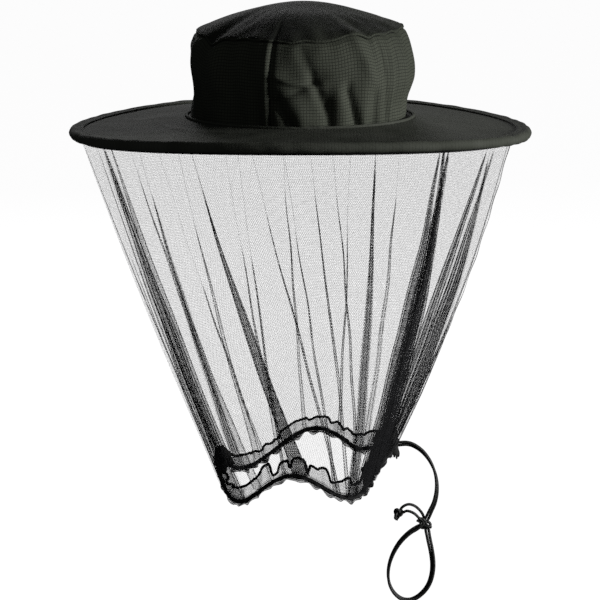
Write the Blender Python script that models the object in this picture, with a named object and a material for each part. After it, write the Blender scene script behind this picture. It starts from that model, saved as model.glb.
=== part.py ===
"""Beekeeping veil: a hooped-brim fabric hat with a net that hangs from the brim and draws in at the neck.

Metres, +Z up. The origin is the middle of the head opening, level with the brim. The wearer faces -Y.
The net's side seam and the drawcord's exit are at +X. Angles are measured from +X towards +Y.
"""
import math

import bmesh
import bpy
from mathutils import Matrix, Vector

# Driving dimensions
GAP = 0.0003  # between pieces that touch
FABRIC = 0.0008  # a sewn fabric layer
NET = 0.0005  # the net, with its seams
STEPS = 48  # facets round the hat and round the hem

CROWN_RADIUS = 0.0918  # outside of the crown wall at its base
CROWN_BULGE = 0.0022
CROWN_TUCK = 0.0080  # how far the wall turns in at the top seam
CROWN_BASE_Z = 0.0045
CROWN_HEIGHT = 0.0750
CROWN_LEAN_X = 0.0020  # the top seam is higher on the cord's side
CROWN_LEAN_Y = 0.0025  # and lower at the front
DOME_RISE = 0.0205
PANEL_SEAM = -105  # degrees: the visible crown seam, left of the front
SEAM_TRIM = 0.1  # degrees, the gap between the panels at each side of a crown seam
SEAM_TAPE_HALF = 3  # degrees
SWEATBAND_HEIGHT = 0.0320
SWEATBAND_THICKNESS = 0.0010
PIPING_RADIUS = 0.0010

BRIM_RADIUS = 0.1900
BRIM_RISE = 0.0060  # from the level of the hoop up to the crown's base
BRIM_SADDLE = 0.0039  # the brim's sides hang this far and its front and back lift this far
BRIM_TILT = 0.0027  # the front is higher than the back
BRIM_DROP = 0.0011
INTERLINING = 0.0010
ROLL_RADIUS = 0.0036  # the edge binding's outer radius round the hoop
LIP_LENGTH = 0.0075
WIRE_RADIUS = 0.0008
WIRE_OFFSET = 0.0009  # the sprung wire lies towards the outside of the binding
WIRE_ENDS = (90.4, 449.6)  # degrees: the wire's two ends meet inside the ferrule at the back
WIRE_END_LENGTH = 1.8  # degrees from each end to the first bend
FERRULE_SIDES = 12
FERRULE_BORE = 0.0010
FERRULE_RADIUS = 0.0013
FERRULE_LENGTH = 0.0100

VEIL_RADIUS = 0.1775  # where the net is sewn under the brim
VEIL_SHIFT_X = -0.0030
VEIL_TAPE = 0.0033
VEIL_BULGE = 0.0080
SEAM_WIDTH = 0.0050

HEM_X = 0.0040
HEM_RADIUS_X = 0.0745
HEM_RADIUS_Y = 0.0700
HEM_Z = -0.2899
HEM_WAVES = ((1, 0.0090, 19), (2, 0.0048, 36), (4, 0.0106, -19), (5, 0.0033, -162))  # count, rise, turn
CASING_HEIGHT = 0.0130  # above the drawcord
CASING_DEPTH = 0.0040  # below it
CASING_WALL = 0.0004
EDGING_RADIUS = 0.0008
DRAWCORD_ENDS = 4.0  # degrees either side of the exit, where the two ends turn out of the casing
TACK_SIZE = (0.0040, 0.0150, 0.0200)
TAB_SIZE = (0.0025, 0.0140, 0.0200)
TAB_HOLE = 0.0031
TAB_DROP = 0.0055  # the tab's middle is this far below the cord's exit

CORD_RADIUS = 0.0012
CORD_POINT_GAP = 0.0058  # between points along a cord
STRAND_OFFSET = 0.00145  # each of the two strands from the line between them
EXIT_Z = -0.2706
LOOP_KNOT = (0.1054, 0.0, -0.3404)
LOOP_KNOT_SIZE = (0.0062, 0.0040, 0.0042)
LOOP_KNOT_TURN = 32  # degrees, the long axis falls towards +X
END_KNOT = (0.0832, 0.0, -0.3316)
END_KNOT_SIZE = (0.0034, 0.0040, 0.0052)
END_KNOT_TURN = 20

# Routes of the doubled cord, as (x, y, z) between the two strands
ARC_ROUTE = [
    (0.0790, 0.0000, -0.2706),
    (0.0842, 0.0000, -0.2706),
    (0.0896, 0.0000, -0.2703),
    (0.0950, 0.0001, -0.2716),
    (0.1016, 0.0002, -0.2757),
    (0.1071, 0.0004, -0.2816),
    (0.1113, 0.0005, -0.2885),
    (0.1143, 0.0006, -0.2962),
    (0.1158, 0.0006, -0.3045),
    (0.1157, 0.0005, -0.3135),
    (0.1139, 0.0003, -0.3222),
    (0.1106, 0.0001, -0.3298),
    (0.1085, 0.0000, -0.3345),
]
LOOP_ROUTE = [
    (0.1080, 0.0006, -0.3455),
    (0.1097, 0.0012, -0.3545),
    (0.1119, 0.0018, -0.3650),
    (0.1132, 0.0022, -0.3755),
    (0.1126, 0.0025, -0.3860),
    (0.1094, 0.0026, -0.3958),
    (0.1036, 0.0025, -0.4032),
    (0.0964, 0.0022, -0.4078),
    (0.0892, 0.0018, -0.4081),
    (0.0827, 0.0013, -0.4043),
    (0.0778, 0.0008, -0.3975),
    (0.0754, 0.0003, -0.3890),
    (0.0755, -0.0002, -0.3795),
    (0.0778, -0.0006, -0.3700),
    (0.0821, -0.0009, -0.3608),
    (0.0878, -0.0010, -0.3530),
    (0.0944, -0.0010, -0.3470),
    (0.0995, -0.0008, -0.3438),
]
TAIL_UPPER_ROUTE = [
    (0.1046, 0.0010, -0.3335),
    (0.1012, 0.0014, -0.3285),
    (0.0968, 0.0014, -0.3250),
    (0.0918, 0.0011, -0.3238),
    (0.0868, 0.0008, -0.3262),
]
TAIL_LOWER_ROUTE = [
    (0.1010, -0.0012, -0.3352),
    (0.0978, -0.0016, -0.3318),
    (0.0940, -0.0015, -0.3296),
    (0.0903, -0.0010, -0.3290),
    (0.0878, -0.0006, -0.3303),
]


# Shape rules
HOOP_RADIUS = BRIM_RADIUS - ROLL_RADIUS
BRIM_HALF = INTERLINING / 2 + GAP + FABRIC  # from the brim's middle to its faces
LIP_INSIDE = BRIM_HALF + GAP
LIP_OUTSIDE = LIP_INSIDE + FABRIC
TAPE_TOP = LIP_OUTSIDE + GAP
CASING_INSIDE = CORD_RADIUS + 2 * GAP
CASING_OUTSIDE = CASING_INSIDE + CASING_WALL


def brim_edge_z(angle):
    """Height of the hoop: a slight saddle, higher at the front."""
    return -BRIM_DROP - BRIM_SADDLE * math.cos(2 * angle) - BRIM_TILT * math.sin(angle)


def brim_z(radius, angle):
    """Height of the brim's middle layer."""
    share = (radius - CROWN_RADIUS) / (HOOP_RADIUS - CROWN_RADIUS)
    share = min(1.0, max(0.0, share))
    return brim_edge_z(angle) * share + BRIM_RISE * (1 - share) ** 2


def crown_top_z(angle):
    """Height of the top seam."""
    lean = CROWN_LEAN_X * math.cos(angle) + CROWN_LEAN_Y * math.sin(angle)
    return CROWN_BASE_Z + CROWN_HEIGHT + lean


def crown_radius(share):
    """Outside of the crown wall, from its base (0) to the top seam (1)."""
    return CROWN_RADIUS + CROWN_BULGE * math.sin(math.pi * share) - CROWN_TUCK * share**6


def hem_z(angle):
    """Height of the drawcord in the hem, which hangs in scallops."""
    waves = (rise * math.cos(count * angle - math.radians(turn)) for count, rise, turn in HEM_WAVES)
    return HEM_Z + sum(waves)


def hat_point(angle, radius, z):
    return Vector((radius * math.cos(angle), radius * math.sin(angle), z))


def hem_point(angle, outward, height):
    """A point outward from the drawcord in plan, and above it."""
    x = HEM_X + (HEM_RADIUS_X + outward) * math.cos(angle)
    y = (HEM_RADIUS_Y + outward) * math.sin(angle)
    return Vector((x, y, hem_z(angle) + height))


def veil_top_point(angle, outward, depth):
    """A point outward from the net's seam under the brim, and below the brim's middle."""
    x = VEIL_SHIFT_X + (VEIL_RADIUS + outward) * math.cos(angle)
    y = (VEIL_RADIUS + outward) * math.sin(angle)
    return Vector((x, y, brim_z(math.hypot(x, y), angle) - depth))


def veil_point(angle, share, outward):
    """A point on the net, from the brim (0) to the top of the hem casing (1)."""
    top = veil_top_point(angle, outward, TAPE_TOP + VEIL_TAPE + GAP)
    bottom = hem_point(angle, CASING_INSIDE + outward, CASING_HEIGHT + GAP)
    bulge = VEIL_BULGE * math.sin(math.pi * share)
    return top.lerp(bottom, share) + hat_point(angle, bulge, 0)


def steps_between(low, high, count):
    """Evenly spaced values, both ends included."""
    return [low + (high - low) * step / count for step in range(count + 1)]


def ring_angles():
    return [math.tau * step / STEPS for step in range(STEPS)]


# Building tools
def clear_scene():
    for item in list(bpy.data.objects):
        bpy.data.objects.remove(item, do_unlink=True)


def make_material(name, colour, roughness, metallic=0.0):
    made = bpy.data.materials.new(name)
    made.use_nodes = True
    shader = made.node_tree.nodes["Principled BSDF"]
    shader.inputs["Base Color"].default_value = (*colour, 1.0)
    shader.inputs["Roughness"].default_value = roughness
    shader.inputs["Metallic"].default_value = metallic
    return made


def add_object(name, data, material):
    made = bpy.data.objects.new(name, data)
    bpy.context.scene.collection.objects.link(made)
    data.materials.append(material)
    return made


def add_mesh(name, built, material):
    """Make a bmesh into an object, with its faces out and its round faces smooth."""
    bmesh.ops.recalc_face_normals(built, faces=built.faces)
    data = bpy.data.meshes.new(name)
    built.to_mesh(data)
    built.free()
    data.shade_smooth()
    data.set_sharp_from_angle(angle=math.radians(40))
    return add_object(name, data, material)


def sweep(name, section, angles, material, closed=True):
    """Join the closed section at each angle to the next. Points that meet in the middle are merged."""
    built = bmesh.new()
    loops = [[built.verts.new(point) for point in section(angle)] for angle in angles]
    pairs = list(zip(loops, loops[1:]))
    if closed:
        pairs.append((loops[-1], loops[0]))
    for first, second in pairs:
        count = len(first)
        for here in range(count):
            there = (here + 1) % count
            built.faces.new((first[here], first[there], second[there], second[here]))
    if not closed:
        built.faces.new(loops[0])
        built.faces.new(list(reversed(loops[-1])))
    bmesh.ops.remove_doubles(built, verts=built.verts, dist=0.00001)
    return add_mesh(name, built, material)


def layer(rows, thickness, angle):
    """Section of a layer: its outer face through the rows of (radius, z), and its inner face below."""
    outer = [hat_point(angle, radius, z) for radius, z in rows]
    return outer + [point - Vector((0, 0, thickness)) for point in reversed(outer)]


def tube(name, points, radius, sides, material):
    """A round cord or wire with flat ends through the points."""
    curve = bpy.data.curves.new(name, "CURVE")
    curve.dimensions = "3D"
    curve.resolution_u = 1
    curve.render_resolution_u = 1
    curve.bevel_depth = radius
    curve.bevel_resolution = sides // 2 - 2
    curve.use_fill_caps = True
    spline = curve.splines.new("POLY")
    spline.points.add(len(points) - 1)
    for place, point in zip(spline.points, points):
        place.co = (*point, 1.0)
    return add_object(name, curve, material)


def smooth_route(route, spacing):
    """Points at an even spacing along a Catmull-Rom curve through the route."""
    marks = [Vector(point) for point in route]
    marks = [2 * marks[0] - marks[1], *marks, 2 * marks[-1] - marks[-2]]
    fine = []
    for a, b, c, d in zip(marks, marks[1:], marks[2:], marks[3:]):
        for t in steps_between(0, 1, 12)[:-1]:
            bend = (2 * a - 5 * b + 4 * c - d) * t**2 + (3 * b - a - 3 * c + d) * t**3
            fine.append(b + ((c - a) * t + bend) / 2)
    fine.append(marks[-2])
    reached = [0.0]
    for here, there in zip(fine, fine[1:]):
        reached.append(reached[-1] + (there - here).length)
    points = []
    piece = 0
    for target in steps_between(0, reached[-1], max(2, round(reached[-1] / spacing))):
        while piece < len(fine) - 2 and reached[piece + 1] < target:
            piece += 1
        share = (target - reached[piece]) / (reached[piece + 1] - reached[piece])
        points.append(fine[piece].lerp(fine[piece + 1], share))
    return points


def strand(route, side, turns):
    """One of two strands that lie side by side along a route and turn slowly round it."""
    middle = smooth_route(route, CORD_POINT_GAP)
    turning = steps_between(*map(math.radians, turns), len(middle) - 1)
    sideways = Vector((0, 1, 0))
    points = []
    for index, (point, turn) in enumerate(zip(middle, turning)):
        along = middle[min(index + 1, len(middle) - 1)] - middle[max(index - 1, 0)]
        across = sideways.cross(along).normalized()
        aside = across * math.cos(turn) + sideways * math.sin(turn)
        points.append(point + side * STRAND_OFFSET * aside)
    return points


def knot(name, centre, size, turn, material):
    """A tied knot's outer shape: a barrel with grooves between its wraps."""
    built = bmesh.new()
    bmesh.ops.create_uvsphere(built, u_segments=14, v_segments=12, radius=1.0)
    for vert in built.verts:
        along = vert.co.z
        groove = 1 - 0.1 * (1 + math.cos(3 * math.pi * along)) * (1 - along**2)
        vert.co = Vector((along * size[0], vert.co.x * size[1] * groove, vert.co.y * size[2] * groove))
    bmesh.ops.rotate(built, verts=built.verts, matrix=Matrix.Rotation(math.radians(turn), 3, "Y"))
    made = add_mesh(name, built, material)
    made.location = centre
    return made


def patch(name, centre, size, material):
    """A folded fabric patch: a flat block with rounded edges."""
    built = bmesh.new()
    bmesh.ops.create_cube(built, size=1.0)
    bmesh.ops.scale(built, verts=built.verts, vec=size)
    bmesh.ops.bevel(built, geom=built.edges, offset=min(size) * 0.3, segments=2, affect="EDGES", profile=0.5)
    made = add_mesh(name, built, material)
    made.location = centre
    return made


def cut_hole(item, centre, radius, length):
    """Cut a round hole along X through a piece."""
    cutter_mesh = bmesh.new()
    turned = Matrix.Rotation(math.radians(90), 4, "Y")
    ends = {"radius1": radius, "radius2": radius, "depth": length}
    bmesh.ops.create_cone(cutter_mesh, cap_ends=True, segments=16, matrix=turned, **ends)
    data = bpy.data.meshes.new(item.name + "_hole")
    cutter_mesh.to_mesh(data)
    cutter_mesh.free()
    cutter = bpy.data.objects.new(item.name + "_hole", data)
    bpy.context.scene.collection.objects.link(cutter)
    cutter.location = centre
    cutter.hide_render = True
    cutter.display_type = "WIRE"
    hole = item.modifiers.new("hole", "BOOLEAN")
    hole.operation = "DIFFERENCE"
    hole.object = cutter


# The hat
def wall_rows(angle, low, high, inset, count):
    """(radius, z) up the crown wall, between two shares of its height."""
    height = crown_top_z(angle) - GAP / 2 - CROWN_BASE_Z
    shares = steps_between(low, high, count)
    return [(crown_radius(share) - inset, CROWN_BASE_Z + height * share) for share in shares]


def make_crown(cloth, lining, tape):
    seams = (("right", "front", PANEL_SEAM), ("left", "back", PANEL_SEAM + 180))
    for side, end, seam in seams:

        def panel_section(angle):
            outer = wall_rows(angle, 0, 1, 0, 6)
            inner = wall_rows(angle, 0, 1, FABRIC, 6)
            return [hat_point(angle, radius, z) for radius, z in outer + inner[::-1]]

        def tape_section(angle):
            outer = wall_rows(angle, 1 / 2, 5 / 6, FABRIC + 2 * GAP, 2)
            inner = wall_rows(angle, 1 / 2, 5 / 6, FABRIC + 2 * GAP + NET, 2)
            return [hat_point(angle, radius, z) for radius, z in outer + inner[::-1]]

        angles = steps_between(seam, seam + 180, STEPS // 2)
        angles[0] += SEAM_TRIM
        angles[-1] -= SEAM_TRIM
        sweep(f"crown_side_{side}", panel_section, map(math.radians, angles), cloth, closed=False)
        angles = steps_between(seam - SEAM_TAPE_HALF, seam + SEAM_TAPE_HALF, 2)
        sweep(f"crown_seam_tape_{end}", tape_section, map(math.radians, angles), tape, closed=False)

    def top_section(angle):
        seam = crown_top_z(angle) + GAP / 2 + FABRIC
        middle = CROWN_BASE_Z + CROWN_HEIGHT + FABRIC
        rows = []
        for share in steps_between(1, 0, 5):
            z = middle + (seam - middle) * share + DOME_RISE * (1 - share**1.7)
            rows.append((crown_radius(1) * share, z))
        return layer(rows, FABRIC, angle)

    sweep("crown_top_panel", top_section, ring_angles(), cloth)

    def band_section(angle):
        outside = CROWN_RADIUS - FABRIC - GAP
        top = CROWN_BASE_Z + GAP + SWEATBAND_HEIGHT
        rows = [(outside, top), (outside - SWEATBAND_THICKNESS, top)]
        return layer(rows, SWEATBAND_HEIGHT, angle)

    sweep("sweatband", band_section, ring_angles(), lining)


def make_brim(cloth, stiffener, steel):
    inner = CROWN_RADIUS + 2 * GAP
    outer = HOOP_RADIUS - ROLL_RADIUS + GAP

    def add_layer(name, above_middle, thickness, material):
        def section(angle):
            radii = steps_between(inner, outer, 3)
            rows = [(radius, brim_z(radius, angle) + above_middle) for radius in radii]
            return layer(rows, thickness, angle)

        sweep(name, section, ring_angles(), material)

    add_layer("brim_upper", BRIM_HALF, FABRIC, cloth)
    add_layer("brim_interlining", INTERLINING / 2, INTERLINING, stiffener)
    add_layer("brim_lower", -INTERLINING / 2 - GAP, FABRIC, cloth)

    def piping_section(angle):
        up = brim_z(inner, angle) + BRIM_HALF + GAP + PIPING_RADIUS
        middle = hat_point(angle, inner + PIPING_RADIUS, up)
        around = steps_between(0, math.tau, 6)[:-1]
        ring = [(PIPING_RADIUS * math.cos(a), PIPING_RADIUS * math.sin(a)) for a in around]
        return [middle + hat_point(angle, out, up) for out, up in ring]

    sweep("crown_base_piping", piping_section, ring_angles(), cloth)

    wall_inside = ROLL_RADIUS - FABRIC

    def roll_section(angle):
        """A keyhole: round the wire, with two lips that hold the brim's layers."""
        profile = []
        for radius, lip in ((ROLL_RADIUS, LIP_OUTSIDE), (-wall_inside, -LIP_INSIDE)):
            mouth = math.pi - math.asin(abs(lip / radius))
            arc = [(abs(radius) * math.cos(a), radius * math.sin(a)) for a in steps_between(mouth, -mouth, 7)]
            profile += [(-LIP_LENGTH, lip), *arc, (-LIP_LENGTH, -lip)]
        rows = [(HOOP_RADIUS + out, up) for out, up in profile]
        return [hat_point(angle, radius, brim_z(radius, angle) + up) for radius, up in rows]

    sweep("brim_edge_binding", roll_section, ring_angles(), cloth)

    def wire_point(degrees):
        angle = math.radians(degrees)
        return hat_point(angle, HOOP_RADIUS + WIRE_OFFSET, brim_edge_z(angle))

    first, last = WIRE_ENDS
    middle = steps_between(90, 450, STEPS)[1:-1]
    bends = [first, first + WIRE_END_LENGTH, *middle, last - WIRE_END_LENGTH, last]
    tube("brim_hoop", [wire_point(degrees) for degrees in bends], WIRE_RADIUS, 6, steel)

    built = bmesh.new()
    half = FERRULE_LENGTH / 2
    rings = []
    profile = ((-half, FERRULE_BORE), (half, FERRULE_BORE), (half, FERRULE_RADIUS), (-half, FERRULE_RADIUS))
    for end, radius in profile:
        around = steps_between(0, math.tau, FERRULE_SIDES)[:-1]
        rings.append([built.verts.new((end, radius * math.cos(a), radius * math.sin(a))) for a in around])
    for first, second in zip(rings, rings[1:] + rings[:1]):
        for here in range(FERRULE_SIDES):
            there = (here + 1) % FERRULE_SIDES
            built.faces.new((first[here], first[there], second[there], second[here]))
    ferrule = add_mesh("hoop_ferrule", built, steel)
    ferrule.location = wire_point(90)


def make_veil(net, tape):
    def ribbon(name, point_at, half_width, material, angles=None):
        """A thin band between its inner and outer faces, through rows of points."""

        def section(angle):
            outer = point_at(angle, half_width)
            return outer + point_at(angle, -half_width)[::-1]

        sweep(name, section, angles or ring_angles(), material, closed=angles is None)

    def tape_rows(angle, outward):
        return [veil_top_point(angle, outward, TAPE_TOP + depth) for depth in (0, VEIL_TAPE)]

    def net_rows(angle, outward):
        return [veil_point(angle, share, outward) for share in steps_between(0, 1, 6)]

    def seam_rows(angle, outward):
        return [veil_point(angle, share, outward + NET + GAP) for share in steps_between(0.004, 0.996, 6)]

    ribbon("veil_seam_tape", tape_rows, FABRIC / 2, tape)
    ribbon("net_veil", net_rows, NET / 2, net)
    half = SEAM_WIDTH / 2 / VEIL_RADIUS
    ribbon("net_side_seam", seam_rows, NET / 2, tape, angles=[-half, 0, half])


def make_hem(net, tape, cord):
    def casing_section(angle):
        """A fold of net, open at its top, with the drawcord in it."""
        profile = (
            (CASING_OUTSIDE, CASING_HEIGHT),
            (CASING_OUTSIDE, -CASING_DEPTH),
            (-CASING_OUTSIDE, -CASING_DEPTH),
            (-CASING_OUTSIDE, CASING_HEIGHT),
            (-CASING_INSIDE, CASING_HEIGHT),
            (-CASING_INSIDE, CASING_WALL - CASING_DEPTH),
            (CASING_INSIDE, CASING_WALL - CASING_DEPTH),
            (CASING_INSIDE, CASING_HEIGHT),
        )
        return [hem_point(angle, out, up) for out, up in profile]

    casing = sweep("hem_casing", casing_section, ring_angles(), net)
    exit_point = Vector((HEM_X + HEM_RADIUS_X + CASING_OUTSIDE, 0, EXIT_Z))
    cut_hole(casing, exit_point, TAB_HOLE, 0.0020)

    def edging_section(angle):
        middle = hem_point(angle, -CASING_INSIDE, CASING_HEIGHT + GAP + EDGING_RADIUS)
        around = steps_between(0, math.tau, 6)[:-1]
        ring = [(EDGING_RADIUS * math.cos(a), EDGING_RADIUS * math.sin(a)) for a in around]
        return [middle + hat_point(angle, out, up) for out, up in ring]

    sweep("hem_top_edging", edging_section, ring_angles(), tape)

    angles = map(math.radians, steps_between(DRAWCORD_ENDS, 360 - DRAWCORD_ENDS, 76))
    tube("hem_drawcord", [hem_point(angle, 0, 0) for angle in angles], CORD_RADIUS, 8, cord)

    tab_x = exit_point.x + 2 * GAP + TAB_SIZE[0] / 2
    tab = patch("cord_exit_tab", (tab_x, 0, EXIT_Z - TAB_DROP), TAB_SIZE, tape)
    cut_hole(tab, (tab_x, 0, EXIT_Z), TAB_HOLE, 2 * TAB_SIZE[0])

    left = hem_point(math.pi, -CASING_INSIDE - 2 * EDGING_RADIUS, 0)
    tack_x = left.x + 2 * GAP + TACK_SIZE[0] / 2
    patch("hem_gather_tack", (tack_x, 0, left.z + CASING_HEIGHT / 4), TACK_SIZE, tape)


# The free end of the drawcord
def make_cord(cord):
    for name, side in (("outer", 1), ("inner", -1)):
        tube(f"cord_strand_{name}", strand(ARC_ROUTE, side, (0, 180)), CORD_RADIUS, 8, cord)
        tube(f"loop_strand_{name}", strand(LOOP_ROUTE, side, (0, 140)), CORD_RADIUS, 8, cord)
    for name, route in (("upper", TAIL_UPPER_ROUTE), ("lower", TAIL_LOWER_ROUTE)):
        tube(f"tail_strand_{name}", smooth_route(route, CORD_POINT_GAP), CORD_RADIUS, 8, cord)
    knot("loop_knot", LOOP_KNOT, LOOP_KNOT_SIZE, LOOP_KNOT_TURN, cord)
    knot("end_knot", END_KNOT, END_KNOT_SIZE, END_KNOT_TURN, cord)


def main():
    clear_scene()
    cloth = make_material("ripstop_cloth", (0.030, 0.034, 0.024), 0.75)
    brim_cloth = make_material("brim_cloth", (0.034, 0.037, 0.028), 0.75)
    stiffener = make_material("interlining", (0.030, 0.030, 0.029), 0.9)
    lining = make_material("sweatband_twill", (0.012, 0.012, 0.011), 0.85)
    tape = make_material("binding_tape", (0.009, 0.009, 0.009), 0.8)
    net = make_material("net", (0.012, 0.012, 0.012), 0.7)
    steel = make_material("spring_steel", (0.45, 0.45, 0.44), 0.3, 1.0)
    cord = make_material("elastic_cord", (0.008, 0.009, 0.007), 0.6)
    make_crown(cloth, lining, tape)
    make_brim(brim_cloth, stiffener, steel)
    make_veil(net, tape)
    make_hem(net, tape, cord)
    make_cord(cord)


main()
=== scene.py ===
import math
import random

import bmesh
import bpy
import numpy as np
from mathutils import Matrix, Vector


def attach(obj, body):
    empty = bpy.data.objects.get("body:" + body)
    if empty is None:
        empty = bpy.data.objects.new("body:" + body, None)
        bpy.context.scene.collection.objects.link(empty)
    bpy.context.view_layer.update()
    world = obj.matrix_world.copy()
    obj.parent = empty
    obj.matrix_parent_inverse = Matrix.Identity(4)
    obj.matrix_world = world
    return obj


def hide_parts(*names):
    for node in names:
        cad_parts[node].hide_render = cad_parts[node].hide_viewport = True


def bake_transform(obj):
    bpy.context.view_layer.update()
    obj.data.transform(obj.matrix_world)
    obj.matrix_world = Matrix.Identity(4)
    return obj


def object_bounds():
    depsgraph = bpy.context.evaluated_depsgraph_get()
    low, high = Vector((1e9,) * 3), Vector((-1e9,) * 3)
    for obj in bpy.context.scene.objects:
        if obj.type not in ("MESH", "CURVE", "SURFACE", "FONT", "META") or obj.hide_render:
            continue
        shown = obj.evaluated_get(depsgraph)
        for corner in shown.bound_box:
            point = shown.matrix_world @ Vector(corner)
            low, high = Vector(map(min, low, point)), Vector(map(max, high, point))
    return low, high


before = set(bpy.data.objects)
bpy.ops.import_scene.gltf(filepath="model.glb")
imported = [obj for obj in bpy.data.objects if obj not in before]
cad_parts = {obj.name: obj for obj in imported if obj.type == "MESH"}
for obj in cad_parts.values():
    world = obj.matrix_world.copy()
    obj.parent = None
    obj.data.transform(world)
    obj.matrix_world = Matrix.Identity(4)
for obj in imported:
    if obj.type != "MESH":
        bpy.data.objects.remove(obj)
CAD_LOW, CAD_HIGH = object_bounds()

# The hat and hem rules, in metres, as the CAD has them
CROWN_RADIUS = 0.0918
CROWN_BULGE = 0.0022
CROWN_TUCK = 0.0080
CROWN_BASE_Z = 0.0045
CROWN_HEIGHT = 0.0750
CROWN_LEAN_X = 0.0020
CROWN_LEAN_Y = 0.0025
DOME_RISE = 0.0205
PANEL_SEAM = -105
BRIM_RISE = 0.0060
BRIM_SADDLE = 0.0039
BRIM_TILT = 0.0027
BRIM_DROP = 0.0011
BRIM_RADIUS = 0.1900
ROLL_RADIUS = 0.0036
HOOP_RADIUS = BRIM_RADIUS - ROLL_RADIUS
VEIL_RADIUS = 0.1775
VEIL_SHIFT_X = -0.0030
VEIL_TOP_DEPTH = 0.0050
VEIL_BULGE = 0.0055
VEIL_BULGE_SIDE = 0.0028  # more of it on the cord's side
HEM_X = 0.0040
HEM_RADIUS_X = 0.0745
HEM_RADIUS_Y = 0.0700
HEM_Z = -0.2899
HEM_WAVES = ((1, 0.0090, 19), (2, 0.0048, 36), (4, 0.0106, -19), (5, 0.0033, -162))
HEM_LIFTS = (
    (-92, 34, 0.0031), (-26, 14, -0.0050), (140, 22, 0.0045), (80, 20, 0.0076), (53, 7, -0.0035),
)
HEM_PULLS = ((-33, 15, 0.0085),)
CORD_RADIUS = 0.0012
STRAND_OFFSET = 0.00127
LOOP_KNOT = (0.1054, 0.0, -0.3404)
END_KNOT = (0.0832, 0.0, -0.3316)
NET_HEM_OUT = 0.0019  # where the net ends, from the drawcord
NET_HEM_UP = 0.0012
CLOTH_THICK = 0.0006
GRID_PITCH = 0.0026  # between the thick threads of the ripstop
BRIM_HALF = 0.0016  # from the middle of the brim to each cloth
CROWN_COLUMNS = 480
EDGE_COLUMNS = 600
STITCH_COLUMNS = 720

# The studio
LENS = 160.7
SENSOR = 36
CAMERA_PLACE = (0, -2.2, 0.27)
CAMERA_PITCH = math.radians(10.735)
LIGHTS = (  # name, place, target, size, watts
    ("key", (2.1, -0.62, 0.36), (0, 0, 0.03), 0.7, 74),
    ("behind", (-0.25, 1.9, 0.85), (-0.05, 0, 0), 0.8, 11),
    ("front", (-0.3, -1.9, 0.7), (0, 0, 0), 1.2, 1.5),
)
FLOOR_REACH = 12.0
FLOOR_GAP = 0.0005


# Shape rules, on whole arrays of angles
def brim_edge_z(angle):
    return -BRIM_DROP - BRIM_SADDLE * np.cos(2 * angle) - BRIM_TILT * np.sin(angle)


def brim_share(radius):
    """How far out on the brim: 0 at the crown, 1 at the hoop."""
    return np.clip((radius - CROWN_RADIUS) / (HOOP_RADIUS - CROWN_RADIUS), 0, 1)


def brim_z(radius, angle):
    share = brim_share(radius)
    return brim_edge_z(angle) * share + BRIM_RISE * (1 - share) ** 2


def crown_top_z(angle):
    lean = CROWN_LEAN_X * np.cos(angle) + CROWN_LEAN_Y * np.sin(angle)
    return CROWN_BASE_Z + CROWN_HEIGHT + lean


def crown_radius(share):
    return CROWN_RADIUS + CROWN_BULGE * np.sin(math.pi * share) - CROWN_TUCK * share**6


def turned(value):
    """An angle difference between -pi and pi."""
    return (value + math.pi) % math.tau - math.pi


def bump(angle, place, width):
    """A soft bump of height 1, all in radians."""
    return np.exp(-((turned(angle - place) / width) ** 2))


def bumps(angle, table):
    """A sum of soft bumps: (degrees, half width in degrees, height)."""
    angle = np.asarray(angle, float)
    return sum(
        height * bump(angle, math.radians(place), math.radians(width))
        for place, width, height in table
    )


def once_round(count):
    """Even angles once round, without the last."""
    return np.linspace(0, math.tau, count, endpoint=False)


def ring_points(radius, angle, z):
    return np.stack([radius * np.cos(angle), radius * np.sin(angle), z], -1)


def hem_z(angle):
    """The height of the drawcord, round the hem."""
    waves = sum(
        rise * np.cos(count * angle - math.radians(turn)) for count, rise, turn in HEM_WAVES
    )
    return HEM_Z + waves + bumps(angle, HEM_LIFTS)


def hem_point(angle, outward, height):
    """Points outward from the drawcord in plan, and above it."""
    outward = outward - bumps(angle, HEM_PULLS)
    x = HEM_X + (HEM_RADIUS_X + outward) * np.cos(angle)
    y = (HEM_RADIUS_Y + outward) * np.sin(angle)
    return np.stack([x, y, hem_z(angle) + height], -1)


def veil_top_point(angle, outward=0.0):
    """Points where the net is sewn under the brim."""
    x = VEIL_SHIFT_X + (VEIL_RADIUS + outward) * np.cos(angle)
    y = (VEIL_RADIUS + outward) * np.sin(angle)
    return np.stack([x, y, brim_z(np.hypot(x, y), angle) - VEIL_TOP_DEPTH], -1)


def smoothstep(low, high, value):
    """Rises smoothly from 0 to 1 between low and high."""
    t = np.clip((np.asarray(value, float) - low) / (high - low), 0, 1)
    return t * t * (3 - 2 * t)


# Shader writing
class Value:
    """A shader socket in an expression: operators on it add Math nodes."""

    def __init__(self, shader, socket):
        self.shader = shader
        self.socket = socket

    def __add__(self, other):
        return self.shader.math("ADD", self, other)

    def __sub__(self, other):
        return self.shader.math("SUBTRACT", self, other)

    def __mul__(self, other):
        return self.shader.math("MULTIPLY", self, other)

    def __truediv__(self, other):
        return self.shader.math("DIVIDE", self, other)

    def __radd__(self, other):
        return self.shader.math("ADD", other, self)

    def __rsub__(self, other):
        return self.shader.math("SUBTRACT", other, self)

    def __rmul__(self, other):
        return self.shader.math("MULTIPLY", other, self)


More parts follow.
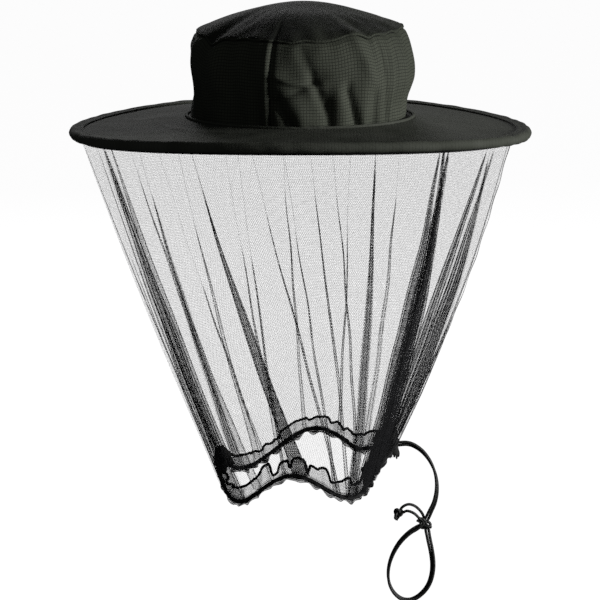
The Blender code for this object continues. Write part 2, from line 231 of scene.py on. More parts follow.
class Shader:
    """A material under construction round one Principled shader."""

    def __init__(self, name, **constants):
        self.material = bpy.data.materials.new(name)
        self.material.use_nodes = True
        self.tree = self.material.node_tree
        self.surface = self.tree.nodes["Principled BSDF"]
        for key, value in constants.items():
            self.surface.inputs[key.replace("_", " ")].default_value = value

    def node(self, kind, settings=None, output=0, **sockets):
        """Add a node: its settings first, then its sockets. _2 is the third socket."""
        made = self.tree.nodes.new("ShaderNode" + kind)
        for key, value in (settings or {}).items():
            setattr(made, key, value)
        for key, value in sockets.items():
            place = int(key[1:]) if key[1:].isdigit() else key.replace("_", " ")
            self.feed(made.inputs[place], value)
        return Value(self, made.outputs[output])

    def feed(self, socket, value):
        if isinstance(value, Value):
            self.tree.links.new(value.socket, socket)
        else:
            socket.default_value = value

    def set(self, name, value):
        self.feed(self.surface.inputs[name], value)

    def math(self, operation, *values):
        return self.node("Math", {"operation": operation}, 0, **self.numbered(values))

    def vector(self, operation, *values):
        return self.node("VectorMath", {"operation": operation}, 0, **self.numbered(values))

    def numbered(self, values):
        return {f"_{place}": value for place, value in enumerate(values)}

    def mix(self, share, low, high):
        return self.node("Mix", {"data_type": "RGBA"}, 2, _0=share, _6=low, _7=high)

    def step(self, value, low, high, bottom=0.0, top=1.0):
        settings = {"interpolation_type": "SMOOTHSTEP"}
        return self.node("MapRange", settings, _0=value, _1=low, _2=high, _3=bottom, _4=top)

    def noise(self, place, scale, detail=2.0, roughness=0.5):
        sockets = {"Vector": place, "Scale": scale, "Detail": detail, "Roughness": roughness}
        return self.node("TexNoise", None, 0, **sockets)

    def place(self):
        return self.node("TexCoord", None, 3)

    def uv(self):
        return self.node("UVMap", {"uv_map": "cloth"})

    def parts(self, vector):
        made = self.tree.nodes.new("ShaderNodeSeparateXYZ")
        self.tree.links.new(vector.socket, made.inputs[0])
        return [Value(self, output) for output in made.outputs]

    def attribute(self, name):
        return self.node("Attribute", {"attribute_name": name}, 2)

    def bump(self, height, distance, strength=1.0):
        made = self.node("Bump", None, 0, Height=height, Distance=distance, Strength=strength)
        self.set("Normal", made)


# Camera, lights and floor
def aim(item, place, target):
    """Put a camera or light in its place, turned to its target."""
    item.location = place
    item.rotation_euler = (Vector(target) - Vector(place)).to_track_quat("-Z", "Y").to_euler()
    bpy.context.scene.collection.objects.link(item)


def make_camera():
    data = bpy.data.cameras.new("camera")
    data.lens = LENS
    data.sensor_width = SENSOR
    camera = bpy.data.objects.new("camera", data)
    place = Vector(CAMERA_PLACE)
    aim(camera, place, place + Vector((0, math.cos(CAMERA_PITCH), -math.sin(CAMERA_PITCH))))
    bpy.context.scene.camera = camera


def area_light(name, place, target, size, watts):
    data = bpy.data.lights.new(name, "AREA")
    data.size = size
    data.energy = watts
    aim(bpy.data.objects.new(name, data), place, target)


def make_studio():
    """A white room that hardly lights the veil, three soft lights, and a pale floor."""
    scene = bpy.context.scene
    scene.view_settings.view_transform = "Standard"
    if hasattr(scene, "cycles"):
        scene.cycles.transparent_max_bounces = 48
        scene.cycles.use_denoising = False
    world = bpy.data.worlds.new("studio")
    scene.world = world
    world.use_nodes = True
    tree = world.node_tree
    seen = tree.nodes["Background"]
    seen.inputs["Color"].default_value = (1, 1, 1, 1)
    seen.inputs["Strength"].default_value = 1.0
    lit = tree.nodes.new("ShaderNodeBackground")
    lit.inputs["Color"].default_value = (0.93, 0.97, 1, 1)
    lit.inputs["Strength"].default_value = 0.05
    path = tree.nodes.new("ShaderNodeLightPath")
    mixed = tree.nodes.new("ShaderNodeMixShader")
    tree.links.new(path.outputs["Is Camera Ray"], mixed.inputs[0])
    tree.links.new(lit.outputs[0], mixed.inputs[1])
    tree.links.new(seen.outputs[0], mixed.inputs[2])
    tree.links.new(mixed.outputs[0], tree.nodes["World Output"].inputs["Surface"])
    for light in LIGHTS:
        area_light(*light)

    floor_z = CAD_LOW.z - FLOOR_GAP
    data = bpy.data.meshes.new("floor")
    sides = ((-1, -1), (1, -1), (1, 1), (-1, 1))
    corners = [(x * FLOOR_REACH, y * FLOOR_REACH, floor_z) for x, y in sides]
    data.from_pydata(corners, [], [(0, 1, 2, 3)])
    floor = bpy.data.objects.new("floor", data)
    scene.collection.objects.link(floor)
    pale = Shader("floor", Roughness=0.9, Base_Color=(0.07, 0.07, 0.07, 1), Emission_Strength=0.965)
    pale.set("Emission Color", (1, 1, 1, 1))
    data.materials.append(pale.material)
    floor.visible_diffuse = False
    floor.visible_glossy = False


# Mesh tools
def add_object(name, data, material):
    data.materials.clear()
    data.materials.append(material)
    made = bpy.data.objects.new(name, data)
    bpy.context.scene.collection.objects.link(made)
    return made


def grid_object(name, points, material, closed=True, cloth=None):
    """A surface through rows of points, rows x columns x 3. cloth holds its UV in metres.

    A closed surface joins its last column to its first, and its cloth has a column more.
    """
    rows, columns = points.shape[:2]
    across = columns if closed else columns - 1
    row, column = np.mgrid[0:rows - 1, 0:across]
    following = (column + 1) % columns
    corners = [row * columns + column, row * columns + following]
    corners += [(row + 1) * columns + following, (row + 1) * columns + column]
    faces = np.stack(corners, -1).reshape(-1, 4)
    data = bpy.data.meshes.new(name)
    data.vertices.add(rows * columns)
    data.vertices.foreach_set("co", points.reshape(-1).astype(np.float32))
    data.loops.add(faces.size)
    data.loops.foreach_set("vertex_index", faces.reshape(-1).astype(np.int32))
    data.polygons.add(len(faces))
    data.polygons.foreach_set("loop_start", np.arange(0, faces.size, 4, dtype=np.int32))
    data.update(calc_edges=True)
    if cloth is not None:
        layer = data.uv_layers.new(name="cloth")
        wide = cloth.shape[1]
        places = [row * wide + column, row * wide + column + 1]
        places += [(row + 1) * wide + column + 1, (row + 1) * wide + column]
        order = np.stack(places, -1).reshape(-1)
        layer.data.foreach_set("uv", cloth.reshape(-1, 2)[order].reshape(-1).astype(np.float32))
    data.shade_smooth()
    data.validate()
    return add_object(name, data, material)


def add_attribute(item, name, values):
    made = item.data.attributes.new(name, "FLOAT", "POINT")
    made.data.foreach_set("value", np.asarray(values, np.float32).reshape(-1))


def weld(item, distance=1e-6):
    """Merge the points that meet, and turn the faces out."""
    built = bmesh.new()
    built.from_mesh(item.data)
    bmesh.ops.remove_doubles(built, verts=built.verts, dist=distance)
    bmesh.ops.recalc_face_normals(built, faces=built.faces)
    built.to_mesh(item.data)
    built.free()


def join(parts):
    """Make several objects one piece, named after the first."""
    built = bmesh.new()
    for part in parts:
        built.from_mesh(part.data)
    for part in parts[1:]:
        bpy.data.objects.remove(part, do_unlink=True)
    built.to_mesh(parts[0].data)
    built.free()
    return parts[0]


def thicken(item, thickness=CLOTH_THICK):
    """Give a sheet its cloth's thickness, inwards."""
    solid = item.modifiers.new("cloth", "SOLIDIFY")
    solid.thickness = thickness
    solid.offset = -1
    solid.use_rim = True


def path_lengths(path):
    """How far along a path each of its points is."""
    steps = np.linalg.norm(np.diff(path, axis=0), axis=1)
    return np.concatenate([[0], np.cumsum(steps)])


def fit_out(piece, body, slot, *nodes):
    """Hide the CAD nodes a piece stands for, and put it on the body it rides on. Its material slot
    is not used.
    """
    if nodes:
        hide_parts(*nodes)
    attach(piece, body)


# Cords
BRAID_STRANDS = 8
BRAID_PITCH = 0.0016


def make_cord_material():
    """Round elastic cord with a fine braid on its cover."""
    made = Shader("elastic_cord", Roughness=0.5, Specular_IOR_Level=0.45)
    across, along, _ = made.parts(made.uv())
    lean = across * (BRAID_STRANDS / CORD_RADIUS)
    run = along * (math.tau / BRAID_PITCH)
    braid = made.math("SINE", lean + run) * made.math("SINE", lean - run) * 0.5 + 0.5
    shade = made.mix(braid, (0.0035, 0.0038, 0.0034, 1), (0.0115, 0.0120, 0.0105, 1))
    made.set("Base Color", shade)
    made.bump(braid, 0.00018, 0.8)
    return made.material


def make_binding_material(name):
    """Black overlocked thread and tape."""
    made = Shader(name, Roughness=0.8, Specular_IOR_Level=0.25)
    place = made.place()
    strands = made.noise(place, 900.0, 3.0, 0.6)
    made.set("Base Color", made.mix(strands, (0.004, 0.004, 0.004, 1), (0.013, 0.013, 0.0125, 1)))
    made.bump(strands, 0.0004, 0.8)
    return made.material


ARC_ROUTE = [
    (0.0826, 0.0000, -0.2706),
    (0.0842, 0.0000, -0.2706),
    (0.0896, 0.0000, -0.2703),
    (0.0950, 0.0001, -0.2716),
    (0.1016, 0.0002, -0.2757),
    (0.1071, 0.0004, -0.2816),
    (0.1113, 0.0005, -0.2885),
    (0.1143, 0.0006, -0.2962),
    (0.1158, 0.0006, -0.3045),
    (0.1157, 0.0005, -0.3135),
    (0.1139, 0.0003, -0.3222),
    (0.1106, 0.0001, -0.3298),
    (0.1085, 0.0000, -0.3345),
]
LOOP_ROUTE = [
    (0.1080, 0.0006, -0.3455),
    (0.1097, 0.0012, -0.3545),
    (0.1119, 0.0018, -0.3650),
    (0.1132, 0.0022, -0.3755),
    (0.1126, 0.0025, -0.3860),
    (0.1094, 0.0026, -0.3958),
    (0.1036, 0.0025, -0.4032),
    (0.0964, 0.0022, -0.4078),
    (0.0892, 0.0018, -0.4081),
    (0.0827, 0.0013, -0.4043),
    (0.0778, 0.0008, -0.3975),
    (0.0754, 0.0003, -0.3890),
    (0.0755, -0.0002, -0.3795),
    (0.0778, -0.0006, -0.3700),
    (0.0821, -0.0009, -0.3608),
    (0.0878, -0.0010, -0.3530),
    (0.0944, -0.0010, -0.3470),
    (0.0995, -0.0008, -0.3438),
]
TAIL_UPPER_ROUTE = [
    (0.1046, 0.0010, -0.3335),
    (0.1012, 0.0014, -0.3285),
    (0.0968, 0.0014, -0.3250),
    (0.0918, 0.0011, -0.3238),
    (0.0868, 0.0008, -0.3262),
]
TAIL_LOWER_ROUTE = [
    (0.1010, -0.0012, -0.3352),
    (0.0978, -0.0016, -0.3318),
    (0.0940, -0.0015, -0.3296),
    (0.0903, -0.0010, -0.3290),
    (0.0878, -0.0006, -0.3303),
]


def smooth_route(route, spacing):
    """Points at an even spacing along a Catmull-Rom curve through the route."""
    marks = [Vector(point) for point in route]
    marks = [2 * marks[0] - marks[1], *marks, 2 * marks[-1] - marks[-2]]
    fine = []
    for a, b, c, d in zip(marks, marks[1:], marks[2:], marks[3:]):
        for t in np.linspace(0, 1, 24, endpoint=False):
            bend = (2 * a - 5 * b + 4 * c - d) * t**2 + (3 * b - a - 3 * c + d) * t**3
            fine.append(b + ((c - a) * t + bend) / 2)
    fine.append(marks[-2])
    fine = np.array(fine)
    reached = path_lengths(fine)
    targets = np.linspace(0, reached[-1], max(3, round(reached[-1] / spacing)) + 1)
    return np.stack([np.interp(targets, reached, fine[:, axis]) for axis in range(3)], -1)


CORD_SPACING = 0.0012  # between the rings of a cord
LOOP_SPACING = 0.006  # between the loop's points before its ends join on


def strand(route, side, turns, spacing=CORD_SPACING):
    """One of two strands that lie side by side along a route and turn slowly round it."""
    middle = smooth_route(route, spacing)
    along = np.gradient(middle, axis=0)
    sideways = np.array([0.0, 1.0, 0.0])
    across = np.cross(sideways, along)
    across /= np.linalg.norm(across, axis=1)[:, None]
    turn = np.radians(np.linspace(*turns, len(middle)))[:, None]
    return middle + side * STRAND_OFFSET * (across * np.cos(turn) + sideways * np.sin(turn))


def cord_mesh(name, path, radius, material, sides=14):
    """A round cord along a path, with UV in metres: round it, then along it."""
    along = np.gradient(path, axis=0)
    along /= np.linalg.norm(along, axis=1)[:, None]
    frame_x = np.zeros_like(path)
    start = np.cross(along[0], (0.0, 1.0, 0.0))
    for index, direction in enumerate(along):
        start = start - direction * (start @ direction)
        start = start / np.linalg.norm(start)
        frame_x[index] = start
    frame_y = np.cross(along, frame_x)
    around = once_round(sides)
    ring = frame_x[:, None] * np.cos(around)[None, :, None]
    ring = ring + frame_y[:, None] * np.sin(around)[None, :, None]
    points = path[:, None] + radius * ring
    reached = path_lengths(path)
    first = np.broadcast_to(path[:1, None], (1, sides, 3))
    last = np.broadcast_to(path[-1:, None], (1, sides, 3))
    points = np.concatenate([first, points, last])
    reached = np.concatenate([[0], reached, reached[-1:]])
    cloth = np.zeros((len(points), sides + 1, 2))
    cloth[..., 0] = np.linspace(0, math.tau * radius, sides + 1)[None]
    cloth[..., 1] = reached[:, None]
    made = grid_object(name, points, material, True, cloth)
    weld(made)
    return made


def knot_piece(name, centre, size, turn, reach, material):
    """A tied knot: one cord through a three-crossing loop, with two short stubs."""
    t = once_round(72)
    x, z = np.sin(t) + 2 * np.sin(2 * t), np.cos(t) - 2 * np.cos(2 * t)
    line = np.stack([x, -np.sin(3 * t) * 1.3, z], -1) / 3 * np.array(size)
    tilt = np.array(Matrix.Rotation(math.radians(turn), 3, "Y"))
    path = line @ tilt.T + np.array(centre)
    loop = ring_tube(name, path, CORD_RADIUS * 1.02, material, 10)
    parts = [loop]
    for number, direction in enumerate(reach):
        end = np.array(direction)
        start = np.array(centre) + end * 0.25
        stub = np.linspace(start, np.array(centre) + end, 6)
        parts.append(cord_mesh(f"{name}_stub_{number}", stub, CORD_RADIUS * 0.95, material))
    return join(parts)


# Knots: name, CAD node, body, centre, size, turn in degrees, and where their stubs reach
KNOTS = (
    ("drawcord_knot", "loop_knot", "drawcord", LOOP_KNOT, (0.0058, 0.0024, 0.0042), 32,
     [(-0.0062, -0.0006, 0.0030), (0.0064, -0.0008, -0.0034)]),
    ("drawcord_end_knot", "end_knot", "cord_loop", END_KNOT, (0.0034, 0.0020, 0.0048), 20,
     [(-0.0012, 0.0, -0.0058)]),
)


def free_cord(name, path, body, nodes, material):
    """A free strand, from where it starts to the knot at its end."""
    piece = cord_mesh(name, path, CORD_RADIUS, material)
    fit_out(piece, body, "elastic_cord", *nodes)


def make_cords(material):
    """The two strands to the loop knot, the loop and tails beyond it, and both knots."""
    knots = {}
    for name, node, body, *shape in KNOTS:
        knots[body] = knot_piece(name, *shape, material)
        fit_out(knots[body], body, "elastic_cord", node)
    sides = (("outer", 1), ("inner", -1))
    for name, side in sides:
        path = strand(ARC_ROUTE + [LOOP_KNOT], side, (0, 190))
        free_cord(f"drawcord_{name}", path, "drawcord", [f"cord_strand_{name}"],
                  material)
    tails = {"outer": ("upper", TAIL_UPPER_ROUTE), "inner": ("lower", TAIL_LOWER_ROUTE)}
    for name, side in sides:
        tail_name, tail = tails[name]
        loop = strand(LOOP_ROUTE, side, (0, 140), LOOP_SPACING)
        way_in = (LOOP_KNOT[0] + 0.0012, 0.0004, LOOP_KNOT[2] + 0.0004)
        way_through = (LOOP_KNOT[0] - 0.0002, side * 0.0008, LOOP_KNOT[2] + 0.0008)
        way_out = (END_KNOT[0] + 0.0006, 0.0, END_KNOT[2] + 0.0004)
        route = [way_in, *map(tuple, loop), way_through, *tail, way_out]
        nodes = [f"loop_strand_{name}", f"tail_strand_{tail_name}"]
        free_cord(f"cord_loop_{name}", smooth_route(route, CORD_SPACING), "cord_loop",
                  nodes, material)


# The net
NET_PITCH = 0.0016  # across one mesh of the tulle
NET_WIDTH = math.tau * VEIL_RADIUS
NET_LENGTH = 0.305
NET_ROWS = 76
# Each fold: its angles at the brim and at the hem, where it starts (0 brim, 1 hem), its width at
# the hem, its turns, its sideways bend on the way, and how late it widens (1 is evenly).
FRONT_FOLDS = [
    (-178.0, -174.0, 0.00, 0.0040, 1, 0.000, 1.0),
    (-158.0, -152.0, 0.30, 0.0050, 1, 0.000, 1.0),
    (-153.5, -150.0, 0.00, 0.0030, 1, 0.000, 1.0),
    (-149.5, -137.0, 0.00, 0.0235, 2, 0.001, 0.68),
    (-137.0, -120.0, 0.03, 0.0085, 1, -0.002, 1.2),
    (-127.0, -110.0, 0.38, 0.0030, 1, 0.000, 1.0),
    (-117.0, -92.0, 0.05, 0.0135, 2, -0.002, 1.3),
    (-104.5, -103.0, 0.30, 0.0020, 1, 0.000, 1.0),
    (-101.0, -68.0, 0.14, 0.0025, 1, 0.000, 1.2),
    (-93.0, -71.0, 0.20, 0.0028, 1, 0.000, 1.2),
    (-86.5, -62.0, 0.08, 0.0032, 1, 0.000, 1.2),
    (-81.0, -57.0, 0.08, 0.0030, 1, 0.002, 1.2),
    (-70.0, -59.0, 0.00, 0.0090, 2, 0.000, 1.0),
    (-51.0, -51.0, 0.00, 0.0150, 2, -0.001, 0.8),
    (-48.0, -40.0, 0.00, 0.0150, 3, -0.002, 0.75),
    (-31.0, -34.0, 0.02, 0.0110, 2, -0.014, 0.6),
    (-26.5, -28.0, 0.02, 0.0080, 2, -0.012, 0.6),
    (-9.0, -17.0, 0.55, 0.0100, 2, 0.000, 0.8),
]
BACK_FOLDS = [
    (2.5, 3.0, 0.00, 0.0040, 1, 0.000, 1.0),
    (18.5, 15.0, 0.10, 0.0080, 3, -0.006, 0.8),
    (42.0, 28.0, 0.05, 0.0140, 2, -0.003, 0.8),
    (58.0, 47.0, 0.25, 0.0060, 1, 0.001, 1.0),
    (74.0, 67.0, 0.35, 0.0028, 1, 0.001, 1.2),
    (95.0, 90.0, 0.25, 0.0030, 1, 0.000, 1.2),
    (113.0, 108.0, 0.40, 0.0035, 1, 0.000, 1.2),
    (129.0, 122.0, 0.30, 0.0060, 1, 0.001, 1.1),
    (144.0, 138.0, 0.20, 0.0080, 2, 0.001, 1.0),
    (157.5, 151.0, 0.04, 0.0150, 1, 0.001, 0.8),
    (168.0, 164.0, 0.45, 0.0080, 2, 0.000, 1.0),
]
FOLD_LEAST = 0.0005  # the width of a fold that hasn't opened yet
FOLD_DEPTH = 0.0012  # between one layer of a fold and the next
FOLD_FULL = 0.006  # the width from which a fold has its full depth
CREASE_STEP = 0.00030  # between the columns beside a crease
CREASE_SHADE = 0.95
LAYER_SHADE = 0.09  # of the net's thickness, for each turn of a fold
NARROW_SHADE = 0.42
NARROW_WIDTHS = (0.0026, 0.0008)
BILLOW = 0.0016
SPAN_STEP = 0.0035  # between columns where the net is single


def make_net_material(name, base, spread):
    """Black tulle: hexagonal meshes on the cloth's UV, thicker where the net is bunched."""
    made = Shader(name, Roughness=0.7, Specular_IOR_Level=0.2)
    made.set("Base Color", (0.010, 0.010, 0.011, 1))
    place = made.node("VectorMath", {"operation": "SCALE"}, 0, _0=made.uv(), Scale=1 / NET_PITCH)
    cell = (1.0, math.sqrt(3), 1.0)
    half = (0.5, math.sqrt(3) / 2, 0.5)
    nearest = None
    for shift in ((40.0, 40 * math.sqrt(3), 0.0), (40.5, 40.5 * math.sqrt(3), 0.0)):
        moved = made.vector("ADD", place, shift)
        inside = made.vector("SUBTRACT", made.vector("MODULO", moved, cell), half)
        across, up, _ = made.parts(made.vector("ABSOLUTE", inside))
        reach = made.math("MAXIMUM", across, across * 0.5 + up * (math.sqrt(3) / 2))
        nearest = reach if nearest is None else made.math("MINIMUM", nearest, reach)
    thickness = base + spread * made.attribute("bunch")
    made.set("Alpha", made.step(nearest, 0.5 - thickness * 1.35, 0.5 - thickness * 0.65))
    return made.material


# Across one layer of a fold: side, steps in from the crease, crease
FOLD_COLUMNS = (
    (1, 1, 0.7), (1, 2, 0.0), (0.35, 0, 0.0), (-0.35, 0, 0.0), (-1, 2, 0.0), (-1, 1, 0.7),
)


def fold_profile(turns, way):
    """Columns across a fold: side (-1 to 1), steps in from its crease, layer (1 to -1), crease."""
    layers = 2 * turns + 1
    columns = []
    for layer in range(layers):
        side = -1 if layer % 2 == 0 else 1
        level = way * (1 - 2 * layer / (layers - 1))
        following = way * (1 - 2 * (layer + 1) / (layers - 1))
        for edge, step, crease in FOLD_COLUMNS:
            columns.append((side * edge, step, level, crease))
        if layer < layers - 1:
            columns.append((-side, 0, (level + following) / 2, 1.0))
    return columns


def open_folds(share, chance):
    """Each fold's place and turns, and its width, sideways bend and opening on the way down."""
    folds = []
    for index, fold in enumerate(sorted(FRONT_FOLDS + BACK_FOLDS)):
        top, hem, start, width, turns, bend, lateness = fold
        opened = np.clip((share - start) / (1 - start), 0, 1) ** lateness
        wide = FOLD_LEAST + width * opened * (1 - 0.12 * np.sin(3 * math.pi * share))
        wave = sum(
            chance.uniform(-1, 1) * 0.0006
            * np.sin(count * math.pi * share + chance.uniform(0, math.tau))
            for count in (3, 5, 8)
        )
        folds.append({
            "top": math.radians(top),
            "hem": math.radians(hem),
            "wide": wide,
            "aside": bend * np.sin(math.pi * share) + wave * np.sin(math.pi * share) ** 0.5,
            "turns": turns,
            "way": 1 if index % 2 else -1,
            "deep": FOLD_DEPTH * turns * np.clip(wide / FOLD_FULL, 0.03, 1),
            "opened": opened,
        })
    return folds


def net_columns(folds, share, chance):
    """Angles at the brim and hem, sideways, outward, crease and bunch: what x row x column."""
    columns = []

    def add(*values):
        columns.append([np.zeros(NET_ROWS) + value for value in values])

    for here, fold in enumerate(folds):
        after = folds[(here + 1) % len(folds)]
        turn = math.tau if here == len(folds) - 1 else 0
        half = fold["wide"] / 2
        opening = smoothstep(0.0, 0.08, fold["opened"])
        inset = np.minimum(CREASE_STEP, half * 0.25)
        narrow = smoothstep(*NARROW_WIDTHS, fold["wide"])
        crowd = (LAYER_SHADE * (fold["turns"] - 1) + NARROW_SHADE * narrow) * opening
        for side, step, level, crease in fold_profile(fold["turns"], fold["way"]):
            sideways = fold["aside"] + side * half - math.copysign(1, side) * step * inset
            outward = level * fold["deep"]
            add(fold["top"], fold["hem"], sideways, outward, crease * opening, crowd)
        span_top = after["top"] + turn - fold["top"]
        span_hem = after["hem"] + turn - fold["hem"]
        steps = max(5, int(abs(span_top) * VEIL_RADIUS / SPAN_STEP))
        billow = chance.uniform(-BILLOW, BILLOW)
        beside = min(0.05, CREASE_STEP / (abs(span_top) * VEIL_RADIUS))
        for part in (beside, *(step / steps for step in range(1, steps)), 1 - beside):
            ease = part * part * (3 - 2 * part)
            before_edge = fold["aside"] + half
            after_edge = after["aside"] - after["wide"] / 2
            sideways = (1 - part) * before_edge + part * after_edge
            outward = ease * after["way"] * after["deep"] - (1 - ease) * fold["way"] * fold["deep"]
            outward = outward + billow * math.sin(math.pi * part) * np.sin(math.pi * share)
            top, hem = fold["top"] + part * span_top, fold["hem"] + part * span_hem
            add(top, hem, sideways, outward, 0, 0)
    return np.array(columns).transpose(1, 2, 0)


def make_net(material):
    """The veil: one gathered sheet from the brim to the hem, with folds that widen on the way."""
    chance = random.Random(7)
    share = np.linspace(0, 1, NET_ROWS)
    folds = open_folds(share, chance)
    top, hem, sideways, outward, crease, bunch = net_columns(folds, share, chance)
    down = share[:, None]
    angle = top * (1 - down) + hem * down
    ends = (veil_top_point(top), hem_point(hem, NET_HEM_OUT, NET_HEM_UP))
    points = ends[0] * (1 - down[..., None]) + ends[1] * down[..., None]
    radial = np.stack([np.cos(angle), np.sin(angle), 0 * angle], -1)
    along = np.stack([-np.sin(angle), np.cos(angle), 0 * angle], -1)
    closing = smoothstep(1.0, 0.955, down)
    bulge = (VEIL_BULGE + VEIL_BULGE_SIDE * np.cos(angle)) * np.sin(math.pi * down)
    relief = (bulge + outward * (0.25 + 0.75 * closing))[..., None]
    points = points + radial * relief + along * sideways[..., None]
    steps = np.linalg.norm(np.roll(points, -1, 1) - points, axis=2)
    wide = np.concatenate([np.zeros((NET_ROWS, 1)), np.cumsum(steps, 1)], 1)
    front = int(np.argmin(np.abs(top[0] + math.pi / 2)))
    wide = wide - wide[:, front:front + 1] + NET_WIDTH
    long = np.broadcast_to(down * NET_LENGTH, wide.shape)
    item = grid_object("net_veil_cloth", points, material, True, np.stack([wide, long], -1))
    add_attribute(item, "bunch", np.clip(CREASE_SHADE * crease + bunch, 0, 1))
    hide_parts("net_veil")
    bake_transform(item)


# The hem
RING_COLUMNS = 1080
CASING_ROWS = 9
CASING_CLOTH = 0.014  # of net from the free edge to the drawcord
CASING_TIGHT = -0.0017  # where the casing closes on the drawcord
FRILL_DROP = 0.0042
FRILL_WAVE = 0.0013
EDGING_RADIUS = 0.00105
TUNNEL_RADIUS = 0.00165
CORD_GAP = 4.0  # degrees, on each side of the cord's exit


class Ripple:
    """A repeatable wavy function round the ring: many sines of random counts and turns."""

    def __init__(self, seed, low, high, waves=9):
        chance = random.Random(seed)
        self.parts = [
            (chance.uniform(0.5, 1.0), chance.randint(low, high), chance.uniform(0, math.tau))
            for _ in range(waves)
        ]
        self.scale = sum(rise**2 for rise, _, _ in self.parts) ** 0.5

    def __call__(self, angle):
        waves = sum(rise * np.sin(count * angle + turn) for rise, count, turn in self.parts)
        return waves / self.scale


RUFFLE_OUT = Ripple(11, 22, 52)
RUFFLE_UP = Ripple(12, 8, 24)
FRILL_OUT = Ripple(13, 30, 70)
FRILL_UP = Ripple(14, 14, 50)
CASING_SLIP = Ripple(15, 25, 70)


# The casing's gathered loops, round the ring: degrees, and millimetres above the drawcord
CASING_LOOPS = (
    (-178, 6), (-165, 8), (-158, 4), (-152, 5), (-146, 9), (-138, 11), (-130, 13), (-124, 13),
    (-119, 18.5), (-113.5, 17.5), (-112.4, 8), (-111, 4.5), (-108.6, 5), (-107.4, 11),
    (-105, 12.5), (-101, 13), (-100, 5.5), (-99.2, 5.5), (-98.2, 13.5), (-91, 15), (-89.4, 12.5),
    (-88.6, 3.5), (-87.6, 3.5), (-86.6, 12), (-82, 12), (-76.5, 17), (-74.6, 14), (-73.2, 7.5),
    (-65, 12), (-61.8, 16.5), (-58, 15.5), (-56.6, 9.5), (-49, 7.5), (-46.2, 15), (-42, 14),
    (-40, 9), (-34, 12), (-27, 9), (-20, 13), (-10, 11), (0, 12), (12, 13), (24, 12), (35, 15),
    (40, 14.5), (43, 12), (52, 13), (60, 12), (61.4, 9), (62.8, 12), (68, 11.5), (71, 8.5),
    (72.4, 12), (82, 10.5), (86.5, 7.5), (89, 11), (100, 12.5), (106.8, 13), (108.6, 8.5),
    (117, 11), (122, 10), (132, 12.5), (140, 11), (146, 9.5), (156, 8), (166, 5), (174, 7),
)


def casing_edge(angle):
    """The casing's free edge, for angles once round: outward from the drawcord, and above it."""
    places = np.array([place for place, _ in CASING_LOOPS], float)
    rises = np.array([rise for _, rise in CASING_LOOPS], float)
    here = np.degrees(turned(angle))
    up = np.interp(here, np.append(places, places[0] + 360), np.append(rises, rises[0]))
    reach = 3
    kernel = np.exp(-((np.arange(-reach, reach + 1) / 1.6) ** 2))
    kernel /= kernel.sum()
    up = sum(weight * np.roll(up, shift) for weight, shift in zip(kernel, range(-reach, reach + 1)))
    outward = -0.0026 + 0.0016 * np.tanh(1.6 * RUFFLE_OUT(angle)) + 0.00012 * (up - 11)
    return outward, up * 0.001 + 0.0003 * RUFFLE_UP(7 * angle)


def make_hem(net, binding, cord):
    """The casing with its loops and frill, its overlocked edge, and the drawcord in its tunnel."""
    angle = once_round(RING_COLUMNS)
    edge_out, edge_up = casing_edge(angle)
    rows = []
    for share in np.linspace(0, 1, CASING_ROWS):
        ease = share**1.4
        slip = 0.0009 * CASING_SLIP(angle + share * 0.05) * math.sin(math.pi * share)
        outward = edge_out * (1 - ease) + CASING_TIGHT * ease + slip
        rows.append((outward, edge_up * (1 - share) + 0.0012 * share))
    frill_out = 0.0019 * FRILL_OUT(angle)
    frill_down = -FRILL_DROP - FRILL_WAVE * FRILL_UP(angle)
    for share in (0.25, 0.5, 0.75, 1.0):
        near = 1 - share
        rows.append((CASING_TIGHT * near + frill_out * share, 0.0005 * near + frill_down * share))
    for share in (0.75, 0.5, 0.25, 0.0):
        near = 1 - share
        outward = 0.0018 * near + (frill_out + 0.0012) * share
        rows.append((outward, 0.0010 * near + frill_down * share))
    points = np.stack([hem_point(angle, outward, up) for outward, up in rows])
    wide = np.linspace(0, NET_WIDTH, RING_COLUMNS + 1)[None] + np.zeros((len(rows), 1))
    frill = CASING_CLOTH + np.linspace(0.0012, 0.012, 8)
    down = np.concatenate([np.linspace(0, CASING_CLOTH, CASING_ROWS), frill])
    long = down[:, None] + np.zeros_like(wide)
    casing = grid_object("hem_casing_net", points, net, True, np.stack([wide + 1, long + 1], -1))
    bunch = np.zeros((len(rows), RING_COLUMNS)) + 0.10
    bunch += 0.30 * np.clip(CASING_SLIP(angle), 0, 1)[None] ** 2
    degrees = np.degrees(turned(angle))
    bunch += (0.9 * smoothstep(-50, -34, degrees) * smoothstep(30, 16, degrees))[None]
    bunch += 0.8 * bump(angle, math.pi, 0.22)[None]
    bunch[7:11] += 0.5
    bunch[9:] += 0.20
    add_attribute(casing, "bunch", np.clip(bunch, 0, 1))
    fit_out(casing, "hem", "net", "hem_casing")

    path = hem_point(angle, edge_out, edge_up + 0.0004)
    thread_lumps = Ripple(16, 200, 330, 5)
    edging = ring_tube("hem_edging", path, EDGING_RADIUS, binding, 8, thread_lumps, 0.00018)
    fit_out(edging, "hem", "binding_tape", "hem_top_edging")

    ends = np.radians(np.linspace(CORD_GAP, 360 - CORD_GAP, 500))
    line = cord_mesh("hem_cord_line", hem_point(ends, 0.0, 0.0), CORD_RADIUS, cord, 8)
    fit_out(line, "hem", "elastic_cord", "hem_drawcord")
    tunnel_lumps = Ripple(17, 120, 300, 7)
    sheath = ring_tube("hem_cord_tunnel", hem_point(angle, 0.0, 0.0), TUNNEL_RADIUS, binding, 10,
                       tunnel_lumps, 0.00022)
    fit_out(sheath, "hem", "net")


